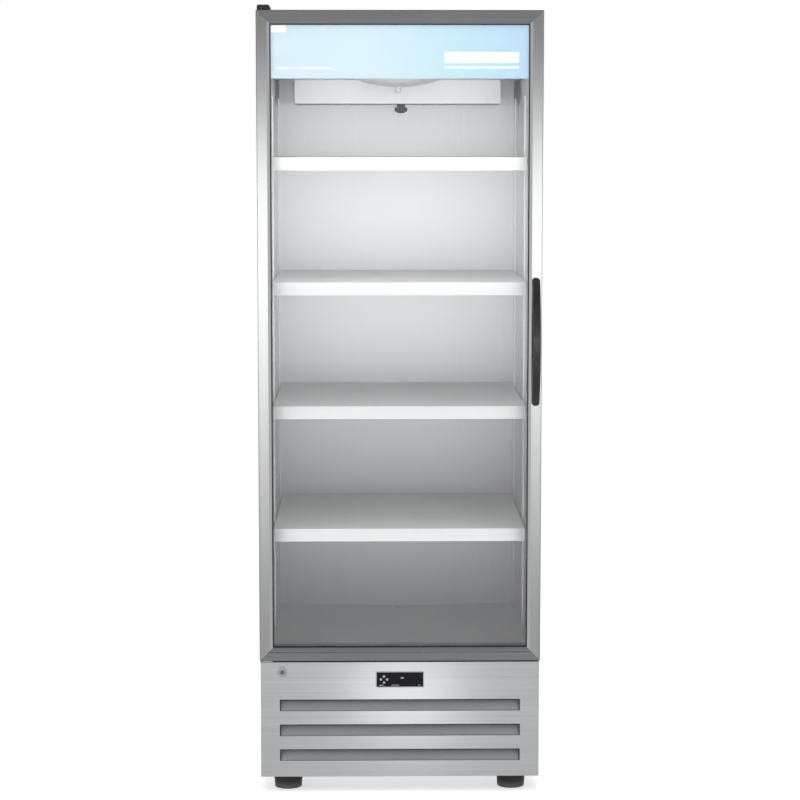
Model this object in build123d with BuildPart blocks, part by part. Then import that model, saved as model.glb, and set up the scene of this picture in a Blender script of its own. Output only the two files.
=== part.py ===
from build123d import *
from math import cos, radians, sin
import os

os.makedirs("parts", exist_ok=True)

# Upright reach-in refrigerator with one glazed door. All sizes are in millimetres.
# The origin is on the floor under the middle of the whole outline. +X runs to the right of
# someone who faces the door, +Y runs from the door to the back, and +Z is up.

# Outside
half_width = 360.0
cabinet_front = -267.5
cabinet_back = 372.5
cabinet_top = 2000.0
header_bottom = 1983.0
base_bottom = 41.0
sheet = 1.0

# Insulated box
inner_half = 328.0
inner_back = 327.5
inner_ceiling = 1950.0
floor_underside = 330.0
sill_top = 367.0
sill_depth = 50.0
deck_drain_z = 353.0
drain_setback = 14.0
drain_radius = 9.0
breaker_depth = 13.5
breaker_outer = 346.0
liner_bottom = 350.0

# Door
door_front = -327.5
door_bottom = 346.5
door_top = 1998.5
door_depth = 48.0
frame_outer_face = 22.5
frame_groove_end = 27.0
frame_bevel_end = 34.0
frame_face = 37.0
frame_wall = 3.0
pocket_edge = 28.0
outer_glass_near = 9.0
glass_thickness = 4.0
glass_gap = 14.0
gasket_clear = 0.3
hinge_x = -345.0
hinge_y = -303.5
hinge_pin_radius = 4.0
hinge_clear = 0.05
bush_radius = 7.0

# Handle
handle_x = 343.5
handle_width = 20.0
handle_bottom = 1005.0
handle_top = 1330.0
handle_reach = 45.0

# Shelves
shelf_tops = (676.5, 995.0, 1313.5, 1632.0)
shelf_half = 324.0
shelf_front = -247.5
shelf_back = 322.0
shelf_lip = 33.0
shelf_flange = 20.0
shelf_sheet = 1.2
standard_depth = 3.0
standard_width = 18.0
standard_front_y = -130.0
standard_rear_y = 240.0
slot_pitch = 24.5

# Cooling
cover_half = 278.0
cover_front = 122.5
cover_bottom = 1774.0
duct_z = 1838.0
duct_front = -240.0
evaporator_fan_z = 1893.0
evaporator_fan_radius = 48.0
condenser_x = -130.0
condenser_z = 185.0
condenser_fan_radius = 96.0

# Lower front panel
panel_front = -317.5
panel_half = 358.0
panel_top = 342.0
panel_sheet = 1.2
slot_half = 309.0
slot_height = 30.6
slot_centres = (98.0, 163.3, 228.6)
display_z = 296.0
display_half = 62.0
display_half_height = 21.0
key_centre_x = -41.0
key_spread = 8.0
key_radius = 3.2
lock_x = -302.0
lock_z = 316.0


def span(low, high):
    """The middle and the length of a stretch."""
    return (low + high) / 2, high - low


def block(x, y, z, mode=Mode.ADD):
    """Fills or cuts the box between the low and high limits on each axis."""
    x_middle, x_size = span(*x)
    y_middle, y_size = span(*y)
    with BuildSketch(Plane.XY.offset(z[0])) as footprint:
        with Locations((x_middle, y_middle)):
            Rectangle(x_size, y_size)
    extrude(footprint.sketch, amount=z[1] - z[0], mode=mode)


def facing(y):
    """The upright plane at depth y, with its normal towards the front."""
    return Plane.XZ.offset(-y)


def bore_along_y(x, z, radius, y, mode=Mode.SUBTRACT):
    """A cylinder along the depth of the cabinet between the two limits in y."""
    with BuildSketch(facing(y[0])) as circle:
        with Locations((x, z)):
            Circle(radius)
    extrude(circle.sketch, amount=-(y[1] - y[0]), mode=mode)


def bore_upright(x, y, radius, z, mode=Mode.SUBTRACT):
    """An upright cylinder between the two limits in z."""
    with BuildSketch(Plane.XY.offset(z[0])) as circle:
        with Locations((x, y)):
            Circle(radius)
    extrude(circle.sketch, amount=z[1] - z[0], mode=mode)


def door_ring(outer, inner, near, far, mode=Mode.ADD):
    """A rectangular ring, given by its insets from the door's edge and its depths behind the face."""
    z_middle, z_size = span(door_bottom, door_top)
    with BuildSketch(facing(door_front + near)) as ring:
        with Locations((0, z_middle)):
            Rectangle(2 * (half_width - outer), z_size - 2 * outer)
            Rectangle(2 * (half_width - inner), z_size - 2 * inner, mode=Mode.SUBTRACT)
    extrude(ring.sketch, amount=-(far - near), mode=mode)


def door_pane(inset, near, far):
    """A full rectangle in the door, inset from its edge."""
    z_middle, z_size = span(door_bottom, door_top)
    with BuildSketch(facing(door_front + near)) as pane:
        with Locations((0, z_middle)):
            Rectangle(2 * (half_width - inset), z_size - 2 * inset)
    extrude(pane.sketch, amount=-(far - near))


def save(piece, name):
    """Labels a finished piece and writes it under the same name."""
    piece.label = name
    export_step(piece, f"parts/{name}.step")


# ---- Outer skin ----

for side, name in ((-1, "side_panel_left"), (1, "side_panel_right")):
    outside = side * half_width
    inside = side * (half_width - sheet)
    lip = side * breaker_outer
    with BuildPart() as side_panel:
        block(sorted((outside, inside)), (cabinet_front, cabinet_back), (base_bottom, cabinet_top))
        # folded returns at the front, the back and the bottom
        block(
            sorted((inside, lip)),
            (cabinet_front, cabinet_front + sheet),
            (base_bottom, cabinet_top - sheet),
        )
        block(
            sorted((inside, lip)),
            (cabinet_back - 2 * sheet, cabinet_back - sheet),
            (base_bottom, cabinet_top - sheet),
        )
        long_edges = side_panel.edges().filter_by(Axis.Z)
        outer_front = long_edges.filter_by_position(Axis.Y, cabinet_front - 0.01, cabinet_front + 0.01)
        fillet(outer_front.sort_by(Axis.X)[0 if side < 0 else -1], radius=0.9)
    save(side_panel.part, name)

with BuildPart() as top_panel:
    block(
        (-half_width + sheet, half_width - sheet),
        (cabinet_front, cabinet_back - sheet),
        (cabinet_top - sheet, cabinet_top),
    )
    block(
        (-breaker_outer, breaker_outer),
        (cabinet_front, cabinet_front + sheet),
        (header_bottom, cabinet_top - sheet),
    )
save(top_panel.part, "top_panel")

back_screw_x = half_width - 8
screw_hole = 2.1
rib_half = 250.0
rib_height = 18.0
first_back_screw_z = 400
back_screw_pitch = 310
with BuildPart() as back_panel:
    block(
        (-half_width + 1.5, half_width - 1.5),
        (cabinet_back - sheet, cabinet_back),
        (floor_underside, cabinet_top - sheet),
    )
    # pressed stiffening ribs
    for rib_z in (760.0, 1165.0, 1570.0):
        rib = (rib_z - rib_height / 2, rib_z + rib_height / 2)
        block((-rib_half, rib_half), (cabinet_back - 2 * sheet, cabinet_back - sheet), rib)
    # screw holes down both edges
    for screw_z in range(first_back_screw_z, int(cabinet_top), back_screw_pitch):
        for screw_x in (-back_screw_x, back_screw_x):
            bore_along_y(screw_x, screw_z, screw_hole, (cabinet_back - sheet, cabinet_back))
save(back_panel.part, "back_panel")

# ---- Insulation and liner ----

with BuildPart() as wall_foam:
    behind_breaker = cabinet_front + breaker_depth
    foam_back = cabinet_back - 2 * sheet
    for side in (-1, 1):
        block(
            sorted((side * (inner_half + sheet), side * (half_width - sheet))),
            (behind_breaker, foam_back),
            (floor_underside + sheet, cabinet_top - sheet),
        )
    block(
        (-inner_half - sheet, inner_half + sheet),
        (behind_breaker, foam_back),
        (inner_ceiling + sheet, cabinet_top - sheet),
    )
    block(
        (-inner_half - sheet, inner_half + sheet),
        (inner_back + sheet, foam_back),
        (floor_underside + sheet, inner_ceiling + sheet),
    )
    block(
        (-inner_half - sheet, inner_half + sheet),
        (behind_breaker, inner_back + sheet),
        (floor_underside + sheet, liner_bottom),
    )
    bore_upright(0, inner_back - drain_setback, drain_radius, (floor_underside, liner_bottom))
save(wall_foam.part, "wall_foam")

for side, name in ((-1, "liner_left"), (1, "liner_right")):
    with BuildPart() as liner_side:
        block(
            sorted((side * inner_half, side * (inner_half + sheet))),
            (cabinet_front + breaker_depth, inner_back + sheet),
            (liner_bottom, inner_ceiling + sheet),
        )
    save(liner_side.part, name)

with BuildPart() as liner_back:
    block(
        (-inner_half, inner_half),
        (inner_back, inner_back + sheet),
        (liner_bottom, inner_ceiling + sheet),
    )
    block(
        (-inner_half, inner_half),
        (cabinet_front + breaker_depth, inner_back),
        (inner_ceiling, inner_ceiling + sheet),
    )
save(liner_back.part, "liner_back")

# The deck falls from both front corners to a drain at the middle of the back.
deck_front = cabinet_front + sill_depth
deck_half = inner_half
drain = Vector(0, inner_back - drain_setback, deck_drain_z)
deck_thickness = 1.5
deck_rise = 7
deck_corners = {
    "front_left": Vector(-deck_half, deck_front, sill_top),
    "front_right": Vector(deck_half, deck_front, sill_top),
    "back_left": Vector(-deck_half, inner_back, deck_drain_z + deck_rise),
    "back_right": Vector(deck_half, inner_back, deck_drain_z + deck_rise),
}


def facet(corner_a, corner_b, drop):
    """The plane through the drain and two corners, facing up, lowered by drop."""
    normal = (corner_a - drain).cross(corner_b - drain)
    if normal.Z < 0:
        normal = normal * -1
    return Plane(origin=drain - Vector(0, 0, drop), z_dir=normal)


def air_above_deck(drop, low, high):
    """Fills the space above the three facets of the deck, lowered by drop."""
    block((-deck_half, deck_half), (deck_front, inner_back), (low, high))
    pairs = (("front_left", "front_right"), ("front_left", "back_left"), ("front_right", "back_right"))
    for name_a, name_b in pairs:
        split(bisect_by=facet(deck_corners[name_a], deck_corners[name_b], drop), keep=Keep.TOP)


with BuildPart() as above_deck:
    air_above_deck(0, liner_bottom - 8, sill_top + 6)

with BuildPart() as deck_pan:
    air_above_deck(deck_thickness, liner_bottom - 8, sill_top + 6)
    add(above_deck.part, mode=Mode.SUBTRACT)
    # upturned flange along the back
    block(
        (-deck_half, deck_half),
        (inner_back - deck_thickness, inner_back),
        (deck_drain_z + 5, sill_top + 6),
    )
    bore_upright(0, inner_back - drain_setback, drain_radius - 1, (liner_bottom - 10, sill_top))
save(deck_pan.part, "deck_pan")

with BuildPart() as front_frame:
    # breaker strips that join the outer skin to the liner
    for side in (-1, 1):
        block(
            sorted((side * inner_half, side * breaker_outer)),
            (cabinet_front, cabinet_front + breaker_depth),
            (sill_top, inner_ceiling),
        )
    block(
        (-breaker_outer, breaker_outer),
        (cabinet_front, cabinet_front + breaker_depth),
        (inner_ceiling, header_bottom),
    )
save(front_frame.part, "front_frame")

with BuildPart() as front_sill:
    block(
        (-breaker_outer, breaker_outer),
        (cabinet_front, cabinet_front + breaker_depth),
        (floor_underside + sheet, sill_top),
    )
    block(
        (-inner_half, inner_half),
        (cabinet_front + breaker_depth, deck_front),
        (liner_bottom, sill_top),
    )
    fillet(
        front_sill.edges().filter_by(Axis.X).group_by(Axis.Z)[-1].sort_by(Axis.Y)[0],
        radius=2.5,
    )
save(front_sill.part, "front_sill")

# ---- Shelf supports and shelves ----

slot_count = 57
slot_width = 4.0
slot_length = 11.0
strip_end = 18.0
slots_below_first_shelf = 10
slot_bottom = shelf_tops[0] - shelf_flange - slot_length - slots_below_first_shelf * slot_pitch

with BuildPart() as shelf_standards:
    for side in (-1, 1):
        wall_face = side * inner_half
        strip_face = side * (inner_half - standard_depth)
        for middle_y in (standard_front_y, standard_rear_y):
            block(
                sorted((wall_face, strip_face)),
                (middle_y - standard_width / 2, middle_y + standard_width / 2),
                (slot_bottom - strip_end, slot_bottom + (slot_count - 1) * slot_pitch + strip_end),
            )
    slot_middle = slot_bottom + (slot_count - 1) * slot_pitch / 2
    for middle_y in (standard_front_y, standard_rear_y):
        with BuildSketch(Plane.YZ.offset(-inner_half)) as slots:
            with Locations((middle_y, slot_middle)):
                with GridLocations(slot_pitch, slot_pitch, 1, slot_count):
                    Rectangle(slot_width, slot_length)
        extrude(slots.sketch, amount=2 * inner_half, mode=Mode.SUBTRACT)
save(shelf_standards.part, "shelf_standards")

clip_half = 7.0
clip_reach = 16.0
clip_metal = 2.0
clip_tip = 7.0

with BuildPart() as shelf_clips:
    for top in shelf_tops:
        seat = top - shelf_flange
        for side in (-1, 1):
            strip_face = side * (inner_half - standard_depth)
            for middle_y in (standard_front_y, standard_rear_y):
                # tongue under the shelf's flange, its upturned end, its back plate and its hook
                tongue_end = side * (inner_half - standard_depth - clip_reach)
                clip_y = (middle_y - clip_half, middle_y + clip_half)
                block(sorted((strip_face, tongue_end)), clip_y, (seat - clip_metal, seat))
                block(
                    sorted((tongue_end, tongue_end + side * clip_metal)),
                    clip_y,
                    (seat, seat + clip_tip),
                )
                block(
                    sorted((strip_face, strip_face - side * 1.5)),
                    clip_y,
                    (seat - 17, seat - clip_metal),
                )
                block(
                    sorted((strip_face, side * inner_half)),
                    (middle_y - 1.6, middle_y + 1.6),
                    (seat - 15, seat - 7),
                )
save(shelf_clips.part, "shelf_clips")

hat_half = 300.0
hat_depth = 14.0
hat_y = (30.0, 60.0)
lip_return = 12.0

for number, top in enumerate(shelf_tops, start=1):
    with BuildPart() as shelf:
        block((-shelf_half, shelf_half), (shelf_front, shelf_back), (top - shelf_sheet, top))
        # deep front lip with a return along its lower edge
        block((-shelf_half, shelf_half), (shelf_front, shelf_front + shelf_sheet), (top - shelf_lip, top))
        block(
            (-shelf_half, shelf_half),
            (shelf_front, shelf_front + lip_return),
            (top - shelf_lip, top - shelf_lip + shelf_sheet),
        )
        # side and rear flanges
        for side in (-1, 1):
            block(
                sorted((side * shelf_half, side * (shelf_half - shelf_sheet))),
                (shelf_front, shelf_back),
                (top - shelf_flange, top),
            )
        block(
            (-shelf_half, shelf_half),
            (shelf_back - shelf_sheet, shelf_back),
            (top - shelf_flange, top),
        )
        # hat-section stiffener under the deck
        hat_x = (-hat_half, hat_half)
        hat_low = top - hat_depth
        for wall_y in (hat_y[0], hat_y[1] - shelf_sheet):
            block(hat_x, (wall_y, wall_y + shelf_sheet), (hat_low, top - shelf_sheet))
        block(hat_x, hat_y, (hat_low - shelf_sheet, hat_low))
        top_front = shelf.edges().filter_by(Axis.X).group_by(Axis.Z)[-1].sort_by(Axis.Y)[0]
        fillet(top_front, radius=1.1)
    save(shelf.part, f"shelf_{number}")

# ---- Evaporator, its cover and the air duct ----

cover_sheet = 1.2

with BuildPart() as evaporator_cover:
    block((-cover_half, cover_half), (cover_front, inner_back), (cover_bottom, inner_ceiling))
    block(
        (-cover_half + cover_sheet, cover_half - cover_sheet),
        (cover_front + cover_sheet, inner_back + 5),
        (cover_bottom + cover_sheet, inner_ceiling + 5),
        mode=Mode.SUBTRACT,
    )
    front_edges = evaporator_cover.edges().filter_by(Axis.X).group_by(Axis.Z)[0]
    fillet(front_edges.sort_by(Axis.Y)[0], radius=1.1)
    bore_along_y(0, evaporator_fan_z, evaporator_fan_radius + 4, (cover_front - 1, cover_front + 2))
    # return-air slots towards the back of the floor
    with BuildSketch(Plane.XY.offset(cover_bottom - 1)):
        with Locations((0, inner_back - 55)):
            with GridLocations(36, 10, 13, 1):
                SlotOverall(70, 8, rotation=90)
    extrude(amount=4, mode=Mode.SUBTRACT)
save(evaporator_cover.part, "evaporator_cover")


def finned_coil(x, y, z, fin_count, tube_rows, tube_radius):
    """Thin fins across a bank of straight tubes that run along X."""
    fin_thickness = 0.8
    x_middle, x_size = span(*x)
    y_middle, y_size = span(*y)
    z_middle, z_size = span(*z)
    with BuildSketch(Plane.YZ.offset(x[0] - 14)) as tubes:
        with Locations((y_middle, z_middle)):
            with GridLocations(y_size / 2, z_size / tube_rows, 2, tube_rows):
                Circle(tube_radius)
    extrude(tubes.sketch, amount=x_size + 28)
    pitch = (x_size - fin_thickness) / (fin_count - 1)
    for fin in range(fin_count):
        start = x[0] + fin * pitch
        block((start, start + fin_thickness), y, z)


coil_half = 215.0
coil_y = (185.0, 285.0)
coil_z = (1805.0, 1915.0)
end_plate = 2.0

with BuildPart() as evaporator_coil:
    finned_coil((-coil_half, coil_half), coil_y, coil_z, fin_count=36, tube_rows=4, tube_radius=4.5)
    for end in (-1, 1):
        # end plates that hang from the ceiling
        plate_x = sorted((end * coil_half, end * (coil_half + end_plate)))
        block(plate_x, coil_y, (coil_z[0], inner_ceiling))
save(evaporator_coil.part, "evaporator_coil")

shaft_radius = 3.0
rotor_gap = 0.05
can_round = 4.0


def fan_motor(x, z, y, body_radius, ring_y, ring_radius, arm_count):
    """Motor can with radial arms that reach the fan ring; y runs from its front to its back."""
    bore_along_y(x, z, body_radius, y, mode=Mode.ADD)
    arm_plane = Plane(origin=(x, ring_y, z), x_dir=(1, 0, 0), z_dir=(0, -1, 0))
    with BuildSketch(arm_plane) as arms:
        with PolarLocations(0, arm_count, start_angle=45):
            with Locations((ring_radius / 2, 0)):
                Rectangle(ring_radius, 7)
    extrude(arms.sketch, amount=-3)
    bore_along_y(x, z, shaft_radius + rotor_gap, (y[0] - 1, y[0] + 18))


def circles_at_depth(piece, depth):
    """The circular edges of a piece that lie at the given depth."""
    circles = piece.edges().filter_by(GeomType.CIRCLE)
    return circles.filter_by_position(Axis.Y, depth - 0.01, depth + 0.01)


def fan_rotor(x, z, hub_y, hub_radius, tip_radius, chord, blade_count, shaft_end):
    """Hub with pitched blades and the shaft stub that runs in the motor."""
    hub_middle, hub_length = span(*hub_y)
    with BuildPart(mode=Mode.PRIVATE) as blade:
        for radius, pitch in ((hub_radius - 2, 44), (tip_radius, 26)):
            tilt = radians(pitch)
            section = Plane(
                origin=(radius, 0, 0),
                x_dir=(0, cos(tilt), sin(tilt)),
                z_dir=(1, 0, 0),
            )
            with BuildSketch(section):
                Rectangle(chord * (0.7 if radius < tip_radius else 1.0), 1.6)
        loft()
    axis_plane = Plane(origin=(x, hub_middle, z), x_dir=(1, 0, 0), z_dir=(0, -1, 0))
    with BuildPart(axis_plane) as rotor:
        Cylinder(hub_radius, hub_length)
        fillet(rotor.edges().filter_by(GeomType.CIRCLE).sort_by(Axis.Y)[0], radius=3)
        with PolarLocations(0, blade_count):
            add(blade.part)
        with Locations((0, 0, -(hub_length / 2 + (shaft_end - hub_y[1]) / 2))):
            Cylinder(shaft_radius, shaft_end - hub_y[1])
    return rotor.part


evaporator_motor_y = (cover_front + 24, cover_front + 58)
arm_setback = 26.0
with BuildPart() as evaporator_fan_motor:
    fan_motor(
        0,
        evaporator_fan_z,
        evaporator_motor_y,
        body_radius=21,
        ring_y=cover_front + arm_setback,
        ring_radius=evaporator_fan_radius + 10,
        arm_count=4,
    )
    # stand-offs between the arms and the front of the cover
    stand_off_plane = Plane(
        origin=(0, cover_front + cover_sheet, evaporator_fan_z),
        x_dir=(1, 0, 0),
        z_dir=(0, -1, 0),
    )
    with BuildSketch(stand_off_plane):
        with PolarLocations(evaporator_fan_radius + 8, 4, start_angle=45):
            Circle(3)
    extrude(amount=-(arm_setback - cover_sheet))
    fillet(circles_at_depth(evaporator_fan_motor, evaporator_motor_y[1]), radius=can_round)
save(evaporator_fan_motor.part, "evaporator_fan_motor")

evaporator_fan_blade = fan_rotor(
    0,
    evaporator_fan_z,
    hub_y=(cover_front + 3, cover_front + 21),
    hub_radius=14,
    tip_radius=evaporator_fan_radius,
    chord=26,
    blade_count=5,
    shaft_end=evaporator_motor_y[0] + 14,
)
save(evaporator_fan_blade, "evaporator_fan_blade")

with BuildPart() as air_duct:
    block((-inner_half + 1, inner_half - 1), (duct_front, cover_front), (duct_z, duct_z + 1.2))
    for side in (-1, 1):
        block(
            sorted((side * (inner_half - 1), side * (inner_half - 2.2))),
            (duct_front, cover_front),
            (duct_z, duct_z + 16),
        )
    block((-inner_half + 1, inner_half - 1), (duct_front, duct_front + 1.2), (duct_z, duct_z + 16))
    # outlet slots near the door
    with BuildSketch(Plane.XY.offset(duct_z - 1)):
        with Locations((0, duct_front + 28)):
            with GridLocations(48, 16, 12, 2):
                SlotOverall(38, 7)
    extrude(amount=4, mode=Mode.SUBTRACT)
save(air_duct.part, "air_duct")

# ---- Lamp under the duct ----

lamp_radius = 120.0
lamp_drop = 22.0
lamp_wall = 2.0
lamp_y = 2.5

with BuildPart() as lamp_dome:
    with BuildSketch(Plane.XZ.offset(-lamp_y)):
        with BuildLine():
            outer_rim = (lamp_radius, duct_z)
            outer_foot = (0, duct_z - lamp_drop)
            inner_foot = (0, duct_z - lamp_drop + lamp_wall)
            inner_rim = (lamp_radius - 5, duct_z)
            RadiusArc(outer_foot, outer_rim, -(lamp_radius**2 + lamp_drop**2) / (2 * lamp_drop))
            Line(outer_rim, inner_rim)
            inner_drop = lamp_drop - lamp_wall
            inner_radius = ((lamp_radius - 5) ** 2 + inner_drop**2) / (2 * inner_drop)
            RadiusArc(inner_rim, inner_foot, inner_radius)
            Line(inner_foot, outer_foot)
        make_face()
    revolve(axis=Axis((0, lamp_y, 0), (0, 0, 1)))
    # thumb knob that holds the dome
    bore_upright(0, lamp_y, 8.0, (duct_z - lamp_drop - 16, duct_z - lamp_drop + 1.5), mode=Mode.ADD)
    fillet(
        lamp_dome.edges().filter_by(GeomType.CIRCLE).group_by(Axis.Z)[0],
        radius=5,
    )
save(lamp_dome.part, "lamp_dome")

with BuildPart() as temperature_probe:
    # clip under the front edge of the cover with the sensor bulb across it
    block((-2, 20), (cover_front + 4, cover_front + 7), (cover_bottom - 25, cover_bottom))
    block((-2, 20), (cover_front + 4, cover_front + 22), (cover_bottom - 2, cover_bottom))
    with BuildSketch(Plane.YZ.offset(-8)):
        with Locations((cover_front + 12.5, cover_bottom - 15)):
            Circle(5.5)
    extrude(amount=34)
    fillet(temperature_probe.edges().filter_by(Axis.Y).group_by(Axis.Z)[0], radius=3)
save(temperature_probe.part, "temperature_probe")

# ---- Machine compartment ----

foot_x = 290.0
foot_front_y = -252.5
foot_rear_y = 325.0
foot_spots = [(x, y) for x in (-foot_x, foot_x) for y in (foot_front_y, foot_rear_y)]
tray_z = base_bottom + 4

with BuildPart() as chassis:
    tray_half = half_width - sheet - 1
    tray_y = (cabinet_front + 1.5, cabinet_back - 3)
    block((-tray_half, tray_half), tray_y, (tray_z, tray_z + 2))
    for side in (-1, 1):
        block(
            sorted((side * tray_half, side * (tray_half - 2))),
            tray_y,
            (base_bottom, tray_z + 30),
        )
    block((-tray_half, tray_half), (tray_y[1] - 2, tray_y[1]), (base_bottom, tray_z + 30))
    # deck that closes the insulated box from below, on four corner posts
    block(
        (-tray_half - 1, tray_half + 1),
        (cabinet_front + sheet, cabinet_back - 2 * sheet),
        (floor_underside, floor_underside + sheet),
    )
    for side in (-1, 1):
        for post_y in (cabinet_front + 4, cabinet_back - 34):
            post_x = sorted((side * (tray_half - 2), side * (tray_half - 30)))
            block(post_x, (post_y, post_y + 3), (tray_z, floor_underside))
            block(
                sorted((side * tray_half, side * (tray_half - 3))),
                (post_y, post_y + 28),
                (tray_z, floor_underside),
            )
    for x, y in foot_spots:
        bore_upright(x, y, 5.3, (base_bottom, tray_z + 3))
    bore_upright(0, inner_back - drain_setback, drain_radius, (floor_underside - 1, floor_underside + 2))
save(chassis.part, "chassis")

with BuildPart() as feet:
    for x, y in foot_spots:
        with BuildSketch(Plane.XY):
            with Locations((x, y)):
                Circle(35.0)
        with BuildSketch(Plane.XY.offset(30)):
            with Locations((x, y)):
                Circle(37.0)
        loft()
        bore_upright(x, y, 37.0, (30, 38), mode=Mode.ADD)
        bore_upright(x, y, 22.0, (38, tray_z), mode=Mode.ADD)
        bore_upright(x, y, 5.0, (tray_z, tray_z + 28), mode=Mode.ADD)
        # lock nut on the tray
        with BuildSketch(Plane.XY.offset(tray_z + 2)):
            with Locations((x, y)):
                RegularPolygon(9.5, 6)
        extrude(amount=8)
save(feet.part, "feet")

compressor_x = 165.0
compressor_y = 150.0
base_size = (210.0, 150.0)
base_lift = 14.0
base_sheet = 3.0
shell_x = 92.0
shell_y = 74.0
shell_height = 150.0
shell_round = 34.0
weld_lift = 92.0
weld_edge = 4.0
terminal_half = 30.0
damper_x = 90.0
damper_y = 62.0
damper_radius = 9.0
with BuildPart() as compressor:
    with BuildSketch(Plane.XY.offset(tray_z + base_lift)):
        with Locations((compressor_x, compressor_y)):
            RectangleRounded(*base_size, 14)
    extrude(amount=base_sheet)
    with BuildSketch(Plane.XY.offset(tray_z + base_lift + base_sheet)):
        with Locations((compressor_x, compressor_y)):
            Ellipse(shell_x, shell_y)
    extrude(amount=shell_height)
    crown = compressor.edges().group_by(Axis.Z)[-1]
    fillet(crown, radius=shell_round)
    # weld flange round the middle of the shell
    with BuildSketch(Plane.XY.offset(tray_z + weld_lift)):
        with Locations((compressor_x, compressor_y)):
            Ellipse(shell_x + weld_edge, shell_y + weld_edge)
    extrude(amount=4)
    # terminal box
    block(
        (compressor_x - terminal_half, compressor_x + terminal_half),
        (compressor_y - 108, compressor_y - 66),
        (tray_z + 40, tray_z + 90),
    )
    # rubber dampers at the corners of the base
    for corner_x in (-damper_x, damper_x):
        for corner_y in (-damper_y, damper_y):
            bore_upright(
                compressor_x + corner_x,
                compressor_y + corner_y,
                damper_radius,
                (tray_z + 2, tray_z + 24),
                mode=Mode.ADD,
            )
save(compressor.part, "compressor")

condenser_half = 118.0
condenser_half_height = 112.0
condenser_x_span = (condenser_x - condenser_half, condenser_x + condenser_half)
condenser_z_span = (condenser_z - condenser_half_height, condenser_z + condenser_half_height)
condenser_y = (-232.0, -192.0)
shroud_y = (-188.0, -146.0)

with BuildPart() as condenser_coil:
    finned_coil(
        condenser_x_span,
        condenser_y,
        condenser_z_span,
        fin_count=32,
        tube_rows=7,
        tube_radius=4.0,
    )
    for end_x in condenser_x_span:
        block((end_x - 1, end_x + 1), condenser_y, (tray_z + 2, condenser_z_span[1]))
save(condenser_coil.part, "condenser_coil")

with BuildPart() as fan_shroud:
    block(
        (condenser_x_span[0] + 2, condenser_x_span[1] - 2),
        shroud_y,
        (tray_z + 2, condenser_z_span[1]),
    )
    block(
        (condenser_x_span[0] + 4, condenser_x_span[1] - 4),
        (shroud_y[0] - 1, shroud_y[0] + 22),
        (tray_z + 4, condenser_z_span[1] - 2),
        mode=Mode.SUBTRACT,
    )
    bore_along_y(condenser_x, condenser_z, condenser_fan_radius + 4, (shroud_y[0], shroud_y[1] + 1))
save(fan_shroud.part, "fan_shroud")

condenser_motor_y = (-138.0, -88.0)
with BuildPart() as condenser_fan_motor:
    fan_motor(
        condenser_x,
        condenser_z,
        condenser_motor_y,
        body_radius=38,
        ring_y=shroud_y[1],
        ring_radius=condenser_fan_radius + 14,
        arm_count=4,
    )
    bore_along_y(condenser_x, condenser_z, 30, (shroud_y[1] + 3, condenser_motor_y[0]), mode=Mode.ADD)
    bore_along_y(
        condenser_x,
        condenser_z,
        shaft_radius + rotor_gap,
        (shroud_y[1] - 1, condenser_motor_y[0] + 18),
    )
    fillet(circles_at_depth(condenser_fan_motor, condenser_motor_y[1]), radius=can_round)
save(condenser_fan_motor.part, "condenser_fan_motor")

condenser_fan_blade = fan_rotor(
    condenser_x,
    condenser_z,
    hub_y=(shroud_y[1] - 28, shroud_y[1] - 2),
    hub_radius=24,
    tip_radius=condenser_fan_radius,
    chord=50,
    blade_count=5,
    shaft_end=condenser_motor_y[0] + 12,
)
save(condenser_fan_blade, "condenser_fan_blade")

line_radius = 4.0
line_bend = 22.0
suction_bend = 20.0
front_run_y = -212.0
discharge_x = compressor_x - 60
discharge_z = 262.0
drier_x = condenser_x_span[0] - 50
drier_y = (40.0, 150.0)
drier_z = 110.0
drier_radius = 11.0
riser_y = 300.0
riser_top = floor_underside - 10
suction_x = compressor_x + 50
suction_z = 240.0


def pipe(points, radius, bend):
    """A round pipe along straight runs with equal bends."""
    with BuildLine() as route:
        FilletPolyline(*points, radius=bend)
    start = route.line @ 0
    heading = route.line % 0
    with BuildSketch(Plane(origin=start, z_dir=heading)) as bore:
        Circle(radius)
    sweep(bore.sketch, path=route.line)


with BuildPart() as refrigerant_lines:
    # discharge line from the compressor to the condenser
    pipe(
        [
            (discharge_x, compressor_y - 40, tray_z + 150),
            (discharge_x, compressor_y - 40, discharge_z),
            (discharge_x, front_run_y, discharge_z),
            (condenser_x_span[1] + 8, front_run_y, discharge_z),
        ],
        line_radius,
        line_bend,
    )
    # liquid line through the filter drier and up behind the back wall of the box
    pipe(
        [
            (condenser_x_span[0] - 8, front_run_y, drier_z),
            (drier_x, front_run_y, drier_z),
            (drier_x, drier_y[0], drier_z),
        ],
        line_radius,
        line_bend,
    )
    bore_along_y(drier_x, drier_z, drier_radius, drier_y, mode=Mode.ADD)
    pipe(
        [
            (drier_x, drier_y[1], drier_z),
            (drier_x, riser_y, drier_z),
            (drier_x, riser_y, riser_top),
        ],
        line_radius,
        line_bend,
    )
    # suction line back to the compressor
    pipe(
        [
            (suction_x, riser_y, riser_top),
            (suction_x, riser_y, suction_z),
            (suction_x, compressor_y, suction_z),
            (suction_x, compressor_y, tray_z + 155),
        ],
        line_radius + 1,
        suction_bend,
    )
save(refrigerant_lines.part, "refrigerant_lines")

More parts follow.
